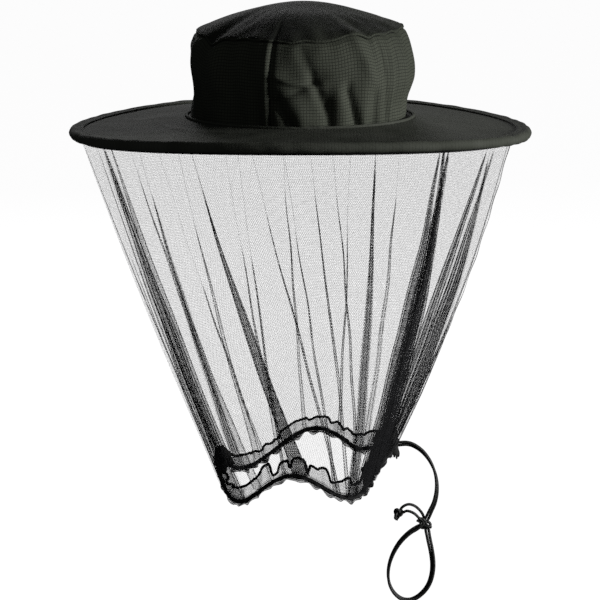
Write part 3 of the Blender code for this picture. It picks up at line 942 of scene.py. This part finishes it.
def ring_tube(name, path, radius, material, sides, lumps=None, rise=0.0):
    """A closed tube along a ring, with small lumps."""
    along = np.roll(path, -1, 0) - np.roll(path, 1, 0)
    along /= np.linalg.norm(along, axis=1)[:, None]
    up = np.array([0.0, 0.0, 1.0])
    across = np.cross(along, up)
    across /= np.linalg.norm(across, axis=1)[:, None]
    upright = np.cross(across, along)
    around = once_round(sides)
    turn = np.linspace(0, math.tau, len(path), endpoint=False)
    thick = np.full((sides, len(path)), radius)
    if lumps is not None:
        thick = thick + rise * lumps(turn[None] + 0.02 * around[:, None])
    ring = across[None] * np.cos(around)[:, None, None]
    ring = ring + upright[None] * np.sin(around)[:, None, None]
    points = path[None] + thick[..., None] * ring
    points = np.concatenate([points, points[:1]])
    reached = path_lengths(path)
    reached = np.append(reached, reached[-1] + np.linalg.norm(path[0] - path[-1]))
    cloth = np.zeros((sides + 1, len(path) + 1, 2))
    cloth[..., 0] = reached[None]
    cloth[..., 1] = (np.linspace(0, math.tau, sides + 1) * radius)[:, None]
    made = grid_object(name, points, material, True, cloth)
    weld(made)
    return made


def gather_bundle(name, angles, up, tall, deep, seed, outward, material):
    """Net gathered tight on the drawcord: a lumpy, pleated roll along part of the hem."""
    angle = np.radians(np.linspace(angles[0], angles[1], 150))
    share = np.linspace(-1, 1, len(angle))
    swell = np.sqrt(np.clip(1 - np.abs(share) ** 2.6, 0, 1))
    pleat = Ripple(seed, 120, 260, 9)
    lump = Ripple(seed + 1, 12, 34, 7)
    around = once_round(28)
    rows = []
    for turn in around:
        fold = 1 + 0.20 * pleat(angle + 0.015 * math.sin(turn))
        fold = fold + 0.20 * lump(angle + 0.05 * math.cos(turn))
        fluff = 1 + 0.14 * pleat(angle + 0.3) + 0.22 * lump(angle + 2.0)
        out = outward + deep * math.cos(turn) * swell * fold
        rows.append(hem_point(angle, out, up + tall * math.sin(turn) * swell * fluff))
    points = np.array(rows)
    points = np.concatenate([points, points[:1]])
    made = grid_object(name, points, material, False)
    weld(made)
    return made


# Gathers: name, CAD nodes, degrees from and to, height, half height, half depth, seed, outward
GATHERS = (
    ("hem_gather_knot", ["hem_gather_tack"], (151, 197), 0.0008, 0.0056, 0.0048, 61, -0.0040),
    ("hem_gather_bunch", [], (-44, 36), 0.0070, 0.0104, 0.0046, 63, -0.0020),
)


def make_gathers(material):
    """The tight gathers at the hat's left, where the hem is tacked, and beside the cord's exit."""
    for name, nodes, *shape in GATHERS:
        fit_out(gather_bundle(name, *shape, material), "hem", "binding_tape", *nodes)


def make_side_seam(material):
    """The seam down the veil on the cord's side."""
    down = np.linspace(0.004, 0.97, 60)[:, None]
    half = 0.0027 / VEIL_RADIUS
    angle = np.linspace(-half, half, 7)[None]
    wide = angle * (1 + 0.25 * np.sin(37 * down) * np.sin(math.pi * down))
    low_end = hem_point(2.2 * wide, NET_HEM_OUT, NET_HEM_UP)
    points = veil_top_point(wide) * (1 - down[..., None]) + low_end * down[..., None]
    bulge = (VEIL_BULGE + VEIL_BULGE_SIDE) * np.sin(math.pi * down) + 0.0009 + 0 * wide
    points[..., 0] += bulge + 0.0004 * np.sin(53 * down)
    cloth = [VEIL_RADIUS * angle + 1 + 0 * down, NET_LENGTH * down + 0 * angle]
    seam = grid_object("net_side_seam_tape", points, material, False, np.stack(cloth, -1))
    add_attribute(seam, "bunch", np.full(points.shape[:2], 0.75))
    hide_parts("net_side_seam")
    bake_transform(seam)


SLEEVE_X = 0.0788
SLEEVE_TOP = -0.2640
SLEEVE_LENGTH = 0.0165


def make_sleeve(material):
    """The folded sleeve that the drawcord leaves through, with a frayed lower edge."""
    around = once_round(72)
    chance = random.Random(21)
    fray = np.array([chance.uniform(-1, 1) for _ in around])
    rows = []
    for share in (0, *np.linspace(0, 1, 26)):
        close = 0.0 if not rows else smoothstep(-0.02, 0.22, share) ** 0.5
        flare = 0.0006 * math.sin(9 * share) + 0.0010 * share
        x_wave = 1 + 0.10 * np.sin(5 * around + 6 * share)
        y_wave = 1 + 0.08 * np.sin(3 * around + 4 * share)
        x = SLEEVE_X + (0.0040 + flare) * close * np.cos(around) * x_wave
        y = (0.0056 + flare) * close * np.sin(around) * y_wave
        z = SLEEVE_TOP - SLEEVE_LENGTH * share + 0.0022 * fray * smoothstep(0.86, 1, share)
        rows.append(np.stack([x, y, z + 0 * around], -1))
    inner = [row.copy() for row in rows[:13:-1]]
    for row in inner:
        row[:, 0] = SLEEVE_X + (row[:, 0] - SLEEVE_X) * 0.82
        row[:, 1] *= 0.86
    closing = inner[-1].copy()
    closing[:, 0] = SLEEVE_X
    closing[:, 1] = 0
    made = grid_object("cord_exit_sleeve", np.array(rows + inner + [closing]), material, True)
    weld(made)
    fit_out(made, "hem", "binding_tape", "cord_exit_tab")


# Stitches
STITCH_SIZES = ("Spacing", "Length", "Thickness", "Unevenness")
UNEVENNESS = 0.18
EDGE_STITCH_IN = 0.0064
EDGE_STITCH_LIFT = 0.0032
BASE_STITCH_SHARE = 0.05


def stitch_tree():
    """Stitches along a curve: one rounded thread at each step, laid along it."""
    tree = bpy.data.node_groups.new("stitches", "GeometryNodeTree")
    face = tree.interface
    face.new_socket("Geometry", in_out="INPUT", socket_type="NodeSocketGeometry")
    sockets = {}
    kinds = {**dict.fromkeys(STITCH_SIZES, "NodeSocketFloat"), "Thread": "NodeSocketMaterial"}
    for name, kind in kinds.items():
        sockets[name] = face.new_socket(name, in_out="INPUT", socket_type=kind).identifier
    face.new_socket("Geometry", in_out="OUTPUT", socket_type="NodeSocketGeometry")

    def node(kind, settings=None, **inputs):
        """Add a node: its settings first, then its inputs. _2 is the third input."""
        made = tree.nodes.new(kind)
        for key, value in (settings or {}).items():
            setattr(made, key, value)
        for key, value in inputs.items():
            socket = made.inputs[int(key[1:]) if key[0] == "_" else key]
            if isinstance(value, bpy.types.NodeSocket):
                tree.links.new(value, socket)
            else:
                socket.default_value = value
        return made.outputs

    given = node("NodeGroupInput")
    wide, long = given["Thickness"], given["Length"]
    spots = node("GeometryNodeCurveToPoints", {"mode": "LENGTH"}, Curve=given["Geometry"],
                 Length=given["Spacing"])
    thread = node("GeometryNodeMeshUVSphere", Segments=6, Rings=5, Radius=0.5)
    size = node("ShaderNodeCombineXYZ", _0=wide, _1=wide, _2=long)
    shaped = node("GeometryNodeTransform", Geometry=thread["Mesh"], Scale=size[0])
    least = node("ShaderNodeMath", {"operation": "SUBTRACT"}, _0=1, _1=given["Unevenness"])
    varied = node("FunctionNodeRandomValue", {"data_type": "FLOAT"}, _2=least[0], _3=1, Seed=5)
    laid = node("GeometryNodeInstanceOnPoints", Points=spots["Points"], Instance=shaped[0],
                Rotation=spots["Rotation"], Scale=varied[1])
    real = node("GeometryNodeRealizeInstances", _0=laid[0])
    painted = node("GeometryNodeSetMaterial", Geometry=real[0], Material=given["Thread"])
    node("NodeGroupOutput", Geometry=painted[0])
    return tree, sockets


def stitch_line(name, path, material, tools, spacing=0.0034, length=0.0025, thickness=0.00062):
    """A closed line of stitches along a ring of points."""
    tree, sockets = tools
    curve = bpy.data.curves.new(name + "_line", "CURVE")
    curve.dimensions = "3D"
    spline = curve.splines.new("POLY")
    spline.points.add(len(path) - 1)
    spline.points.foreach_set("co", np.append(path, np.ones((len(path), 1)), 1).reshape(-1))
    spline.use_cyclic_u = True
    guide = bpy.data.objects.new(name + "_guide", curve)
    bpy.context.scene.collection.objects.link(guide)
    sewn = guide.modifiers.new("stitches", "NODES")
    sewn.node_group = tree
    for key, value in zip(STITCH_SIZES, (spacing, length, thickness, UNEVENNESS)):
        sewn[sockets[key]] = value
    sewn[sockets["Thread"]] = material
    graph = bpy.context.evaluated_depsgraph_get()
    data = bpy.data.meshes.new_from_object(guide.evaluated_get(graph))
    guide.modifiers.remove(sewn)
    bpy.data.objects.remove(guide)
    bpy.data.curves.remove(curve)
    data.name = name
    data.shade_smooth()
    made = add_object(name, data, material)
    fit_out(made, "hat", "binding_tape")
    return made


def make_thread():
    """Twisted sewing thread."""
    made = Shader("sewing_thread", Roughness=0.6, Specular_IOR_Level=0.3)
    place = made.place()
    twist = made.noise(place, 1500.0, 2.0, 0.5)
    made.set("Base Color", made.mix(twist, (0.016, 0.018, 0.013, 1), (0.055, 0.060, 0.046, 1)))
    made.bump(twist, 0.0001, 0.7)
    return made.material


def make_stitches(thread):
    """The seams that show: round the brim's edge, the crown's base, the sweatband and the veil."""
    tools = stitch_tree()
    angle = once_round(STITCH_COLUMNS)
    lip = HOOP_RADIUS - EDGE_STITCH_IN
    for side, way in (("top", 1), ("under", -1)):
        z = brim_z(lip, angle) + way * EDGE_STITCH_LIFT + brim_wave(lip, angle)
        stitch_line(f"brim_edge_stitches_{side}", ring_points(lip, angle, z), thread, tools)
    low = BASE_STITCH_SHARE + 0 * angle
    wall = crown_radius(BASE_STITCH_SHARE) + crown_relief(angle, low)
    top = crown_top_z(angle) - crown_seam_drop(angle)
    z = CROWN_BASE_Z + WALL_LIFT + (top - CROWN_BASE_Z) * BASE_STITCH_SHARE
    stitch_line("crown_base_stitches", ring_points(wall + 0.0001, angle, z), thread, tools)
    band = lining_radius(angle, 0.0, BAND_SHARE, 9) - 0.0026
    z = CROWN_BASE_Z + 0.0290 + 0 * angle
    stitch_line("sweatband_stitches", ring_points(band, angle, z), thread, tools)
    tape = veil_top_point(angle, 0.0008)
    tape[:, 2] += VEIL_TOP_DEPTH - 0.0048
    stitch_line("veil_tape_stitches", tape, thread, tools, 0.0040, 0.0028, 0.0006)


# The crown and brim
WALL_LIFT = 0.0002
WALL_TURN = 0.97  # the share of the wall's height from which it turns into the seam
BAND_SHARE = 0.46
BAND_HEIGHT = 0.0320


def toned(colour, share):
    """A colour made darker or lighter."""
    return (*(channel * share for channel in colour[:3]), 1)


def make_ripstop(name, light, dark, turn=0.0, coordinates="uv"):
    """Ripstop: a fine plain weave with a grid of thicker threads, dusty on the high spots."""
    made = Shader(name, Roughness=0.78, Specular_IOR_Level=0.16)
    place = made.place()
    cloth = made.uv() if coordinates == "uv" else place
    if turn:
        cloth = made.node("Mapping", None, 0, Vector=cloth, Rotation=(0, 0, math.radians(turn)))
    across, up, _ = made.parts(cloth)
    wander = made.noise(place, 60.0, 2.0, 0.5) - 0.5

    def grid(value, drift):
        sawtooth = made.math("PINGPONG", value / GRID_PITCH + wander * drift + 100.0, 0.5)
        return made.step(sawtooth, 0.16, 0.04)

    lines_up = grid(across, 0.35)
    lines_across = grid(up, 0.35)
    threads = made.math("MAXIMUM", lines_up * 0.75, lines_across)
    weave_size = math.tau / 0.00052
    weave = made.math("SINE", across * weave_size) * made.math("SINE", up * weave_size)
    patches = made.noise(place, 14.0, 3.0, 0.55)
    dust = made.noise(place, 420.0, 2.0, 0.7)
    shade = made.mix(made.step(patches, 0.30, 0.72), dark, light)
    shade = made.mix(threads * 0.80, shade, toned(dark, 0.25))
    shade = made.mix(made.step(dust, 0.62, 0.9, 0.0, 0.25), shade, toned(light, 1.7))
    made.set("Base Color", shade)
    made.set("Roughness", 0.70 + 0.18 * patches)
    made.bump(threads * -0.55 + weave * 0.05 + dust * 0.18, 0.00042, 0.75)
    return made.material


def make_brim_cloth(name, light, dark):
    """The brim's cloth: a fine, tight weave with a faint grid and light scuffs."""
    made = Shader(name, Roughness=0.8, Specular_IOR_Level=0.10)
    place = made.place()
    across, up, _ = made.parts(place)
    weave_size = math.tau / 0.0009
    weave = made.math("SINE", (across + up) * weave_size)
    weave = weave * made.math("SINE", (across - up) * weave_size)
    lines = [
        made.step(made.math("PINGPONG", value / GRID_PITCH + 100.0, 0.5), 0.12, 0.03)
        for value in (across, up)
    ]
    grid = made.math("MAXIMUM", *lines)
    patches = made.noise(place, 22.0, 3.0, 0.6)
    dust = made.noise(place, 500.0, 2.0, 0.7)
    shade = made.mix(made.step(patches, 0.3, 0.7), dark, light)
    shade = made.mix(grid * 0.30, shade, toned(dark, 0.6))
    shade = made.mix(made.step(dust, 0.6, 0.9, 0.0, 0.22), shade, toned(light, 1.6))
    made.set("Base Color", shade)
    made.set("Roughness", 0.72 + 0.16 * patches)
    made.bump(weave * 0.12 + grid * -0.3 + dust * 0.2, 0.0003, 0.7)
    return made.material


def make_twill(name, light, dark):
    """A woven band or tape: slanting ribs and a few loose fibres."""
    made = Shader(name, Roughness=0.82, Specular_IOR_Level=0.2)
    place = made.place()
    across, up, _ = made.parts(made.uv())
    ribs = made.math("SINE", (across + up) * (math.tau / 0.0011)) * 0.5 + 0.5
    threads = made.math("SINE", (across - up) * (math.tau / 0.0005)) * 0.5 + 0.5
    fibres = made.noise(place, 380.0, 3.0, 0.6)
    shade = made.mix(ribs * 0.7 + threads * 0.3, dark, light)
    made.set("Base Color", made.mix(made.step(fibres, 0.55, 0.85, 0.0, 0.3), shade, light))
    made.bump(ribs * 0.6 + threads * 0.2 + fibres * 0.3, 0.00025, 0.8)
    return made.material


def make_interlining():
    """Stiff bonded felt with short fibres."""
    made = Shader("interlining", Roughness=0.92, Specular_IOR_Level=0.15)
    place = made.place()
    fibres = made.noise(place, 260.0, 4.0, 0.7)
    specks = made.noise(place, 900.0, 2.0, 0.5)
    made.set("Base Color", made.mix(fibres, (0.010, 0.010, 0.010, 1), (0.030, 0.030, 0.028, 1)))
    made.bump(fibres * 0.7 + specks * 0.3, 0.0003, 0.8)
    return made.material


def make_steel():
    """Drawn spring wire with fine lengthwise scratches and a little tarnish."""
    made = Shader("spring_steel", Metallic=1.0)
    place = made.place()
    tarnish = made.noise(place, 120.0, 3.0, 0.6)
    scratches = made.noise(place, 1400.0, 2.0, 0.6)
    made.set("Base Color", made.mix(tarnish, (0.30, 0.29, 0.27, 1), (0.52, 0.52, 0.50, 1)))
    made.set("Roughness", 0.24 + 0.26 * scratches)
    made.bump(scratches, 0.00004, 0.6)
    return made.material


def repaint(material, *nodes):
    """Give CAD nodes that are kept their finished material."""
    for node in nodes:
        for place in bpy.data.objects[node].material_slots:
            place.material = material


# Folds of the crown wall: from (degrees, share of the height) to (degrees, share), then half width
# in degrees, and height
CROWN_FOLDS = [
    (-108, 0.02, -107, 0.98, 2.0, 0.0016),
    (-104, 0.00, -104, 1.00, 1.0, -0.0016),
    (-118, 0.90, -111, 0.10, 5.0, -0.0022),
    (-131, 0.95, -124, 0.05, 8.0, -0.0024),
    (-144, 0.98, -138, 0.45, 4.0, 0.0018),
    (-102, 0.62, -84, 0.50, 5.0, 0.0016),
    (-101, 0.36, -80, 0.60, 4.0, -0.0012),
    (-98, 0.50, -88, 0.12, 6.0, 0.0018),
    (-101, 0.30, -93, 0.02, 2.4, -0.0019),
    (-90, 0.92, -80, 0.40, 3.2, -0.0011),
    (-84, 0.60, -78, 0.30, 2.6, -0.0014),
    (-76, 0.30, -75, 0.02, 2.6, -0.0021),
    (-71, 0.45, -68, 0.05, 4.0, 0.0018),
    (-66, 0.42, -60, 0.02, 2.4, -0.0024),
    (-56, 0.70, -57, 0.05, 4.5, 0.0016),
    (-50, 0.35, -49, 0.00, 2.4, -0.0016),
    (-60, 0.98, -52, 0.55, 4.0, 0.0015),
    (-45, 0.90, -41, 0.15, 1.7, -0.0010),
    (-38, 0.75, -37, 0.05, 1.5, 0.0009),
    (-33, 0.95, -34, 0.10, 1.8, -0.0009),
    (-24, 0.90, -27, 0.05, 2.2, 0.0010),
    (-15, 0.95, -16, 0.25, 3.0, -0.0010),
    (-154, 0.40, -150, 0.00, 3.0, -0.0016),
    (-163, 0.80, -160, 0.05, 3.5, 0.0013),
    (78, 0.02, 77, 0.98, 2.0, 0.0014),
    (75, 0.00, 75, 1.00, 1.0, -0.0015),
]
FOLD_GAIN = 1.35
# Dips of the top seam: degrees, half width in degrees, depth
SEAM_DIPS = (
    (-146, 6, 0.0062), (-92, 16, 0.0012), (-76, 5, 0.0012), (-60, 6, -0.0030), (-50, 3, 0.0016),
    (-116, 8, -0.0010), (20, 9, 0.0020), (60, 7, -0.0018), (110, 8, 0.0025), (150, 6, 0.0018),
)
CROWN_GATHERS = Ripple(31, 20, 46, 11)
CROWN_TUCKS = Ripple(32, 16, 38, 9)
CROWN_SLACK = Ripple(33, 3, 9, 6)


def crown_relief(angle, share):
    """How far the crown's wall stands out from its plain shape."""
    relief = 0.0010 * CROWN_SLACK(angle + 0.35 * share) * np.sin(math.pi * share)
    behind = 0.45 + 0.55 * smoothstep(-0.2, 0.4, np.sin(angle))
    relief += 0.0011 * CROWN_GATHERS(angle + 0.05 * share) * smoothstep(0.42, 0.04, share) * behind
    relief += 0.0007 * CROWN_TUCKS(angle - 0.04 * share) * smoothstep(0.70, 0.97, share)
    for first, low, last, high, width, height in CROWN_FOLDS:
        part = (share - low) / (high - low)
        centre = np.radians(first + (last - first) * np.clip(part, 0, 1))
        beyond = np.maximum(0, np.abs(part - 0.5) - 0.5) * abs(high - low)
        sideways = turned(angle - centre) / math.radians(width)
        relief += FOLD_GAIN * height * np.exp(-sideways**2 - (beyond / 0.10) ** 2)
    right = bump(angle, math.radians(-4), 0.62)
    swell = 0.0012 * np.exp(-(((share - 0.60) / 0.16) ** 2))
    relief += right * (swell - 0.0050 * smoothstep(0.50, 0.20, share))
    left = bump(angle, math.pi, 0.75)
    relief -= left * (0.0052 * np.exp(-(((share - 0.41) / 0.28) ** 2)) + 0.0010)
    relief += 0.0022 * left * smoothstep(0.75, 0.92, share)
    return relief


def crown_seam_drop(angle):
    """The top seam's dips below its plain line."""
    return bumps(angle, SEAM_DIPS) + 0.0006 * CROWN_TUCKS(angle)


def crown_seam_radius(angle):
    return crown_radius(1.0) + crown_relief(angle, np.ones_like(angle)) * 0.6


def wall_radius(angle, shares):
    """The wall's outer face below the seam, rows by columns."""
    return crown_radius(np.minimum(shares, WALL_TURN)) + crown_relief(angle[None], shares)


def wall_points(angle, shares):
    """The crown wall's outer face, with its top edge turned into the seam."""
    share = shares[:, None] + 0 * angle[None]
    turn_in = smoothstep(0.95, 1.0, share)
    radius = wall_radius(angle, share)
    radius = radius * (1 - turn_in) + (crown_seam_radius(angle)[None] - 0.0008) * turn_in
    base = CROWN_BASE_Z + WALL_LIFT
    top = crown_top_z(angle) - crown_seam_drop(angle)
    return ring_points(radius, angle[None], base + (top[None] - base) * share)


def wall_cloth(angle, shares):
    """UV of a wall: round the crown and up it, in metres."""
    across = (angle * CROWN_RADIUS)[None] + 0 * shares[:, None] + 1
    up = (shares * CROWN_HEIGHT)[:, None] + 0 * across + 1
    return np.stack([across, up], -1)


def narrowest(radius, reach):
    """The least of a ring's radii within reach columns, smoothed."""
    least = np.min([np.roll(radius, shift) for shift in range(-reach, reach + 1)], 0)
    return np.mean([np.roll(least, shift) for shift in range(-reach, reach + 1)], 0)


def lining_radius(angle, low, high, reach):
    """How far out a lining between two shares of the height can be, inside the wall's folds."""
    wall = wall_radius(angle, np.linspace(low, high, 12)[:, None])
    return narrowest(wall.min(0), reach)


def make_linings(band_material, tape_material):
    """The sweatband and the tapes on the wall's two seams."""
    angle = once_round(CROWN_COLUMNS)
    radius = lining_radius(angle, 0.0, BAND_SHARE, 6) - 0.0014
    rows = []
    for share in np.linspace(0, 1, 9):
        swell = 0.0006 * math.sin(math.pi * share) - 0.0003
        z = CROWN_BASE_Z + 0.0003 + BAND_HEIGHT * share + 0.0003 * RUFFLE_UP(angle) * share
        rows.append(ring_points(radius + swell, angle, z))
    cloth = wall_cloth(np.append(angle, math.tau), np.linspace(0, BAND_HEIGHT / CROWN_HEIGHT, 9))
    band = grid_object("sweatband_cloth", np.array(rows), band_material, True, cloth)
    thicken(band, 0.0010)
    fit_out(band, "hat", "sweatband_twill", "sweatband")
    for end, seam in (("front", PANEL_SEAM), ("back", PANEL_SEAM + 180)):
        angle = np.radians(np.linspace(seam - 4.2, seam + 4.2, 15))
        shares = np.linspace(0.47, 0.90, 24)
        wall = wall_radius(angle, shares[:, None])
        radius = wall.min(1, keepdims=True) - 0.0026 + 0 * wall
        z = CROWN_BASE_Z + (crown_top_z(angle)[None] - CROWN_BASE_Z) * shares[:, None]
        points = ring_points(radius, angle[None], z)
        cloth = wall_cloth(np.append(angle, angle[-1]), shares)
        tape = grid_object(f"seam_tape_{end}", points, tape_material, False, cloth)
        thicken(tape, 0.0004)
        fit_out(tape, "hat", "binding_tape", f"crown_seam_tape_{end}")


def make_veil_tape(material):
    """The tape round the veil's top edge, under the brim."""
    angle = once_round(EDGE_COLUMNS)
    rows = []
    for share in np.linspace(0, 1, 5):
        point = veil_top_point(angle, 0.0005 + 0.0002 * math.sin(math.pi * share))
        point[:, 2] += VEIL_TOP_DEPTH - 0.0031 - 0.0034 * share
        rows.append(point)
    wide = np.linspace(0, math.tau * VEIL_RADIUS, EDGE_COLUMNS + 1)[None] + np.zeros((5, 1))
    cloth = np.stack([wide, np.linspace(0, 0.0034, 5)[:, None] + 0 * wide], -1)
    tape = grid_object("veil_top_tape", np.array(rows)[::-1], material, True, cloth)
    thicken(tape)
    fit_out(tape, "hat", "binding_tape", "veil_seam_tape")


def make_crown(cloth, top_cloth):
    """The two halves of the wall, the domed top, and the ridge of the seam between them."""
    shares = np.concatenate([np.linspace(0, 0.94, 54), np.linspace(0.95, 1.0, 6)])
    for side, first in (("right", PANEL_SEAM), ("left", PANEL_SEAM + 180)):
        degrees = np.linspace(first, first + 180, 300)
        angle = np.radians(degrees)
        points = wall_points(angle, shares)
        ends = (degrees - first, first + 180 - degrees)
        turn_in = 0.0014 * sum(smoothstep(1.1, 0.1, end) for end in ends)
        plan = np.stack([np.cos(angle), np.sin(angle), 0 * angle], -1)
        points = points - plan[None] * turn_in[None, :, None]
        wall = grid_object(f"crown_wall_{side}", points, cloth, False, wall_cloth(angle, shares))
        thicken(wall)
        fit_out(wall, "hat", "ripstop_cloth", f"crown_side_{side}")

    angle = once_round(CROWN_COLUMNS)
    seam_radius = crown_seam_radius(angle)
    seam_z = crown_top_z(angle) - crown_seam_drop(angle)
    rows = np.array([1.0, 1.004, 1.0, *np.linspace(0.985, 0.02, 40)])
    lift = np.array([-0.0010, 0.0004, 0.0014] + [0.0016] * 40)
    dome = DOME_RISE * (1 - np.minimum(rows, 1) ** 1.75)
    radial = rows[:, None] * seam_radius[None]
    middle = CROWN_BASE_Z + CROWN_HEIGHT
    level = middle + (seam_z[None] - middle) * rows[:, None] ** 3
    puckers = 0.0009 * CROWN_TUCKS(angle)[None] * smoothstep(0.72, 0.98, rows)[:, None]
    x, y = radial * np.cos(angle)[None], radial * np.sin(angle)[None]
    hollows = 0.0009 * np.sin(52 * x + 31 * y + 1.0) * np.sin(44 * y - 18 * x + 0.4)
    hollows = hollows + 0.0007 * np.sin(95 * y + 20 * x) * np.sin(61 * x - 40 * y)
    hollows = hollows * smoothstep(1.0, 0.8, rows)[:, None]
    z = level + dome[:, None] + lift[:, None] + puckers + hollows
    points = np.stack([x, y, z], -1)
    centre = np.zeros((1, len(angle), 3))
    centre[..., 2] = z[-1].mean() + 0.0001
    points = np.concatenate([points, centre])[::-1]
    # The dome gets the darker copy of the wall's ripstop, which is painted shade
    top = grid_object("crown_dome", points, top_cloth, True)
    weld(top)
    outwards(top)
    thicken(top)
    fit_out(top, "hat", "ripstop_cloth", "crown_top_panel")

    path = ring_points(seam_radius + 0.0001, angle, seam_z + 0.0004)
    lumps = Ripple(34, 60, 140, 5)
    cording = ring_tube("crown_seam_ridge", path, 0.00075, cloth, 8, lumps, 0.00012)
    fit_out(cording, "hat", "ripstop_cloth")


def outwards(item):
    """Point an open dome's faces up."""
    total = sum(face.normal.z * face.area for face in item.data.polygons)
    if total < 0:
        item.data.flip_normals()


BRIM_WAVES = Ripple(41, 2, 7, 5)
BRIM_COCKLE = Ripple(42, 9, 26, 7)
EDGE_TUCKS = Ripple(43, 24, 60, 7)


def brim_wave(radius, angle):
    """The brim's unevenness, none at the crown."""
    share = brim_share(radius)
    wave = 0.0007 * BRIM_WAVES(angle) * share * (1.3 - share)
    wave = wave + 0.00022 * BRIM_COCKLE(angle + 0.4 * share) * np.sin(math.pi * share)
    ridge = 0.0006 * np.exp(-(((radius - 0.118) / 0.004) ** 2))
    return wave + ridge * smoothstep(0.2, -0.6, np.sin(angle + 0.9))


# The inner lip of the rolled edge: outward from the hoop, and above it
ROLL_LIP = ((-0.0079, 0.0022), (-0.0076, 0.0029), (-0.0062, 0.0031), (-0.0046, 0.0030))


def brim_surface(name, lift, material, flip):
    """One cloth of the brim, from the crown's base to the rolled edge."""
    angle = once_round(CROWN_COLUMNS)
    share = np.linspace(0, 1, 36)[:, None]
    inner = crown_radius(0.02) + crown_relief(angle, 0.02 + 0 * angle) - 0.0012
    radius = inner[None] + (HOOP_RADIUS - 0.0024 - inner[None]) * share
    z = brim_z(radius, angle[None]) + lift + brim_wave(radius, angle[None])
    points = ring_points(radius, angle[None], z)
    made = grid_object(name, points[::-1] if flip else points, material, True)
    thicken(made)
    return made


def make_brim(cloth):
    """The brim's two cloths, its rolled edge over the hoop, and the cord round the crown's base."""
    upper = brim_surface("brim_top_cloth", BRIM_HALF, cloth, False)
    fit_out(upper, "hat", "brim_cloth", "brim_upper")
    lower = brim_surface("brim_under_cloth", -BRIM_HALF, cloth, True)
    fit_out(lower, "hat", "brim_cloth", "brim_lower")

    angle = once_round(EDGE_COLUMNS)
    lip_turn = np.arcsin(0.0030 / ROLL_RADIUS)
    around = np.linspace(math.pi - lip_turn, lip_turn - math.pi, 15)
    rows = list(ROLL_LIP)
    rows += [(ROLL_RADIUS * np.cos(a), ROLL_RADIUS * np.sin(a)) for a in around]
    rows += [(out, -up) for out, up in reversed(ROLL_LIP)]
    kink = bump(angle, math.radians(-172), 0.10) + 0.7 * bump(angle, math.radians(-160), 0.05)
    dent = 0.9 * bump(angle, math.radians(-24), 0.03)
    points = []
    for out, up in rows:
        rolled = out > -0.004
        bulge = 1 + 0.05 * EDGE_TUCKS(angle + 0.02 * up / ROLL_RADIUS) if rolled else 1.0
        radius = HOOP_RADIUS + out * bulge
        lift = brim_wave(radius, angle) - 0.0009 * kink * (up > 0) - 0.0012 * dent * (up > 0)
        radius = radius - 0.0007 * kink - 0.0004 * dent
        z = brim_z(radius, angle) + up * bulge + lift
        points.append(ring_points(radius, angle, z))
    binding_piece = grid_object("brim_rolled_edge", np.array(points), cloth, True)
    thicken(binding_piece)
    fit_out(binding_piece, "hat", "brim_cloth", "brim_edge_binding")

    inner = CROWN_RADIUS + 0.0017
    path = ring_points(inner, angle, brim_z(inner, angle) + 0.0030)
    lumps = Ripple(44, 30, 80, 5)
    piping = ring_tube("crown_base_cord", path, 0.0013, cloth, 10, lumps, 0.00010)
    fit_out(piping, "hat", "brim_cloth", "crown_base_piping")


make_camera()
make_studio()
make_net(make_net_material("net", 0.046, 0.26))
elastic = make_cord_material()
make_crown(
    make_ripstop("ripstop_cloth", (0.050, 0.055, 0.041, 1), (0.032, 0.036, 0.026, 1)),
    # The dome's copy of the wall's ripstop has its grid turned and is painted darker: painted shade
    # on the same cloth as the wall
    make_ripstop("ripstop_dome_painted_shade", (0.024, 0.027, 0.019, 1), (0.009, 0.010, 0.008, 1), 22, "object"),
)
make_brim(make_brim_cloth("brim_cloth", (0.050, 0.053, 0.044, 1), (0.034, 0.037, 0.029, 1)))
make_cords(elastic)
casing_net = make_net_material("casing_net", 0.075, 0.30)
make_hem(casing_net, make_binding_material("binding_tape"), elastic)
make_sleeve(make_binding_material("tab_cloth"))
make_gathers(make_binding_material("gathered_net"))
make_side_seam(make_net_material("seam_net", 0.20, 0.25))
make_linings(
    make_twill("sweatband_twill", (0.030, 0.033, 0.026, 1), (0.012, 0.013, 0.011, 1)),
    make_twill("seam_tape", (0.022, 0.024, 0.019, 1), (0.009, 0.010, 0.008, 1)),
)
make_veil_tape(make_twill("veil_tape", (0.014, 0.014, 0.013, 1), (0.005, 0.005, 0.005, 1)))
make_stitches(make_thread())
repaint(make_interlining(), "brim_interlining")
repaint(make_steel(), "brim_hoop", "hoop_ferrule")
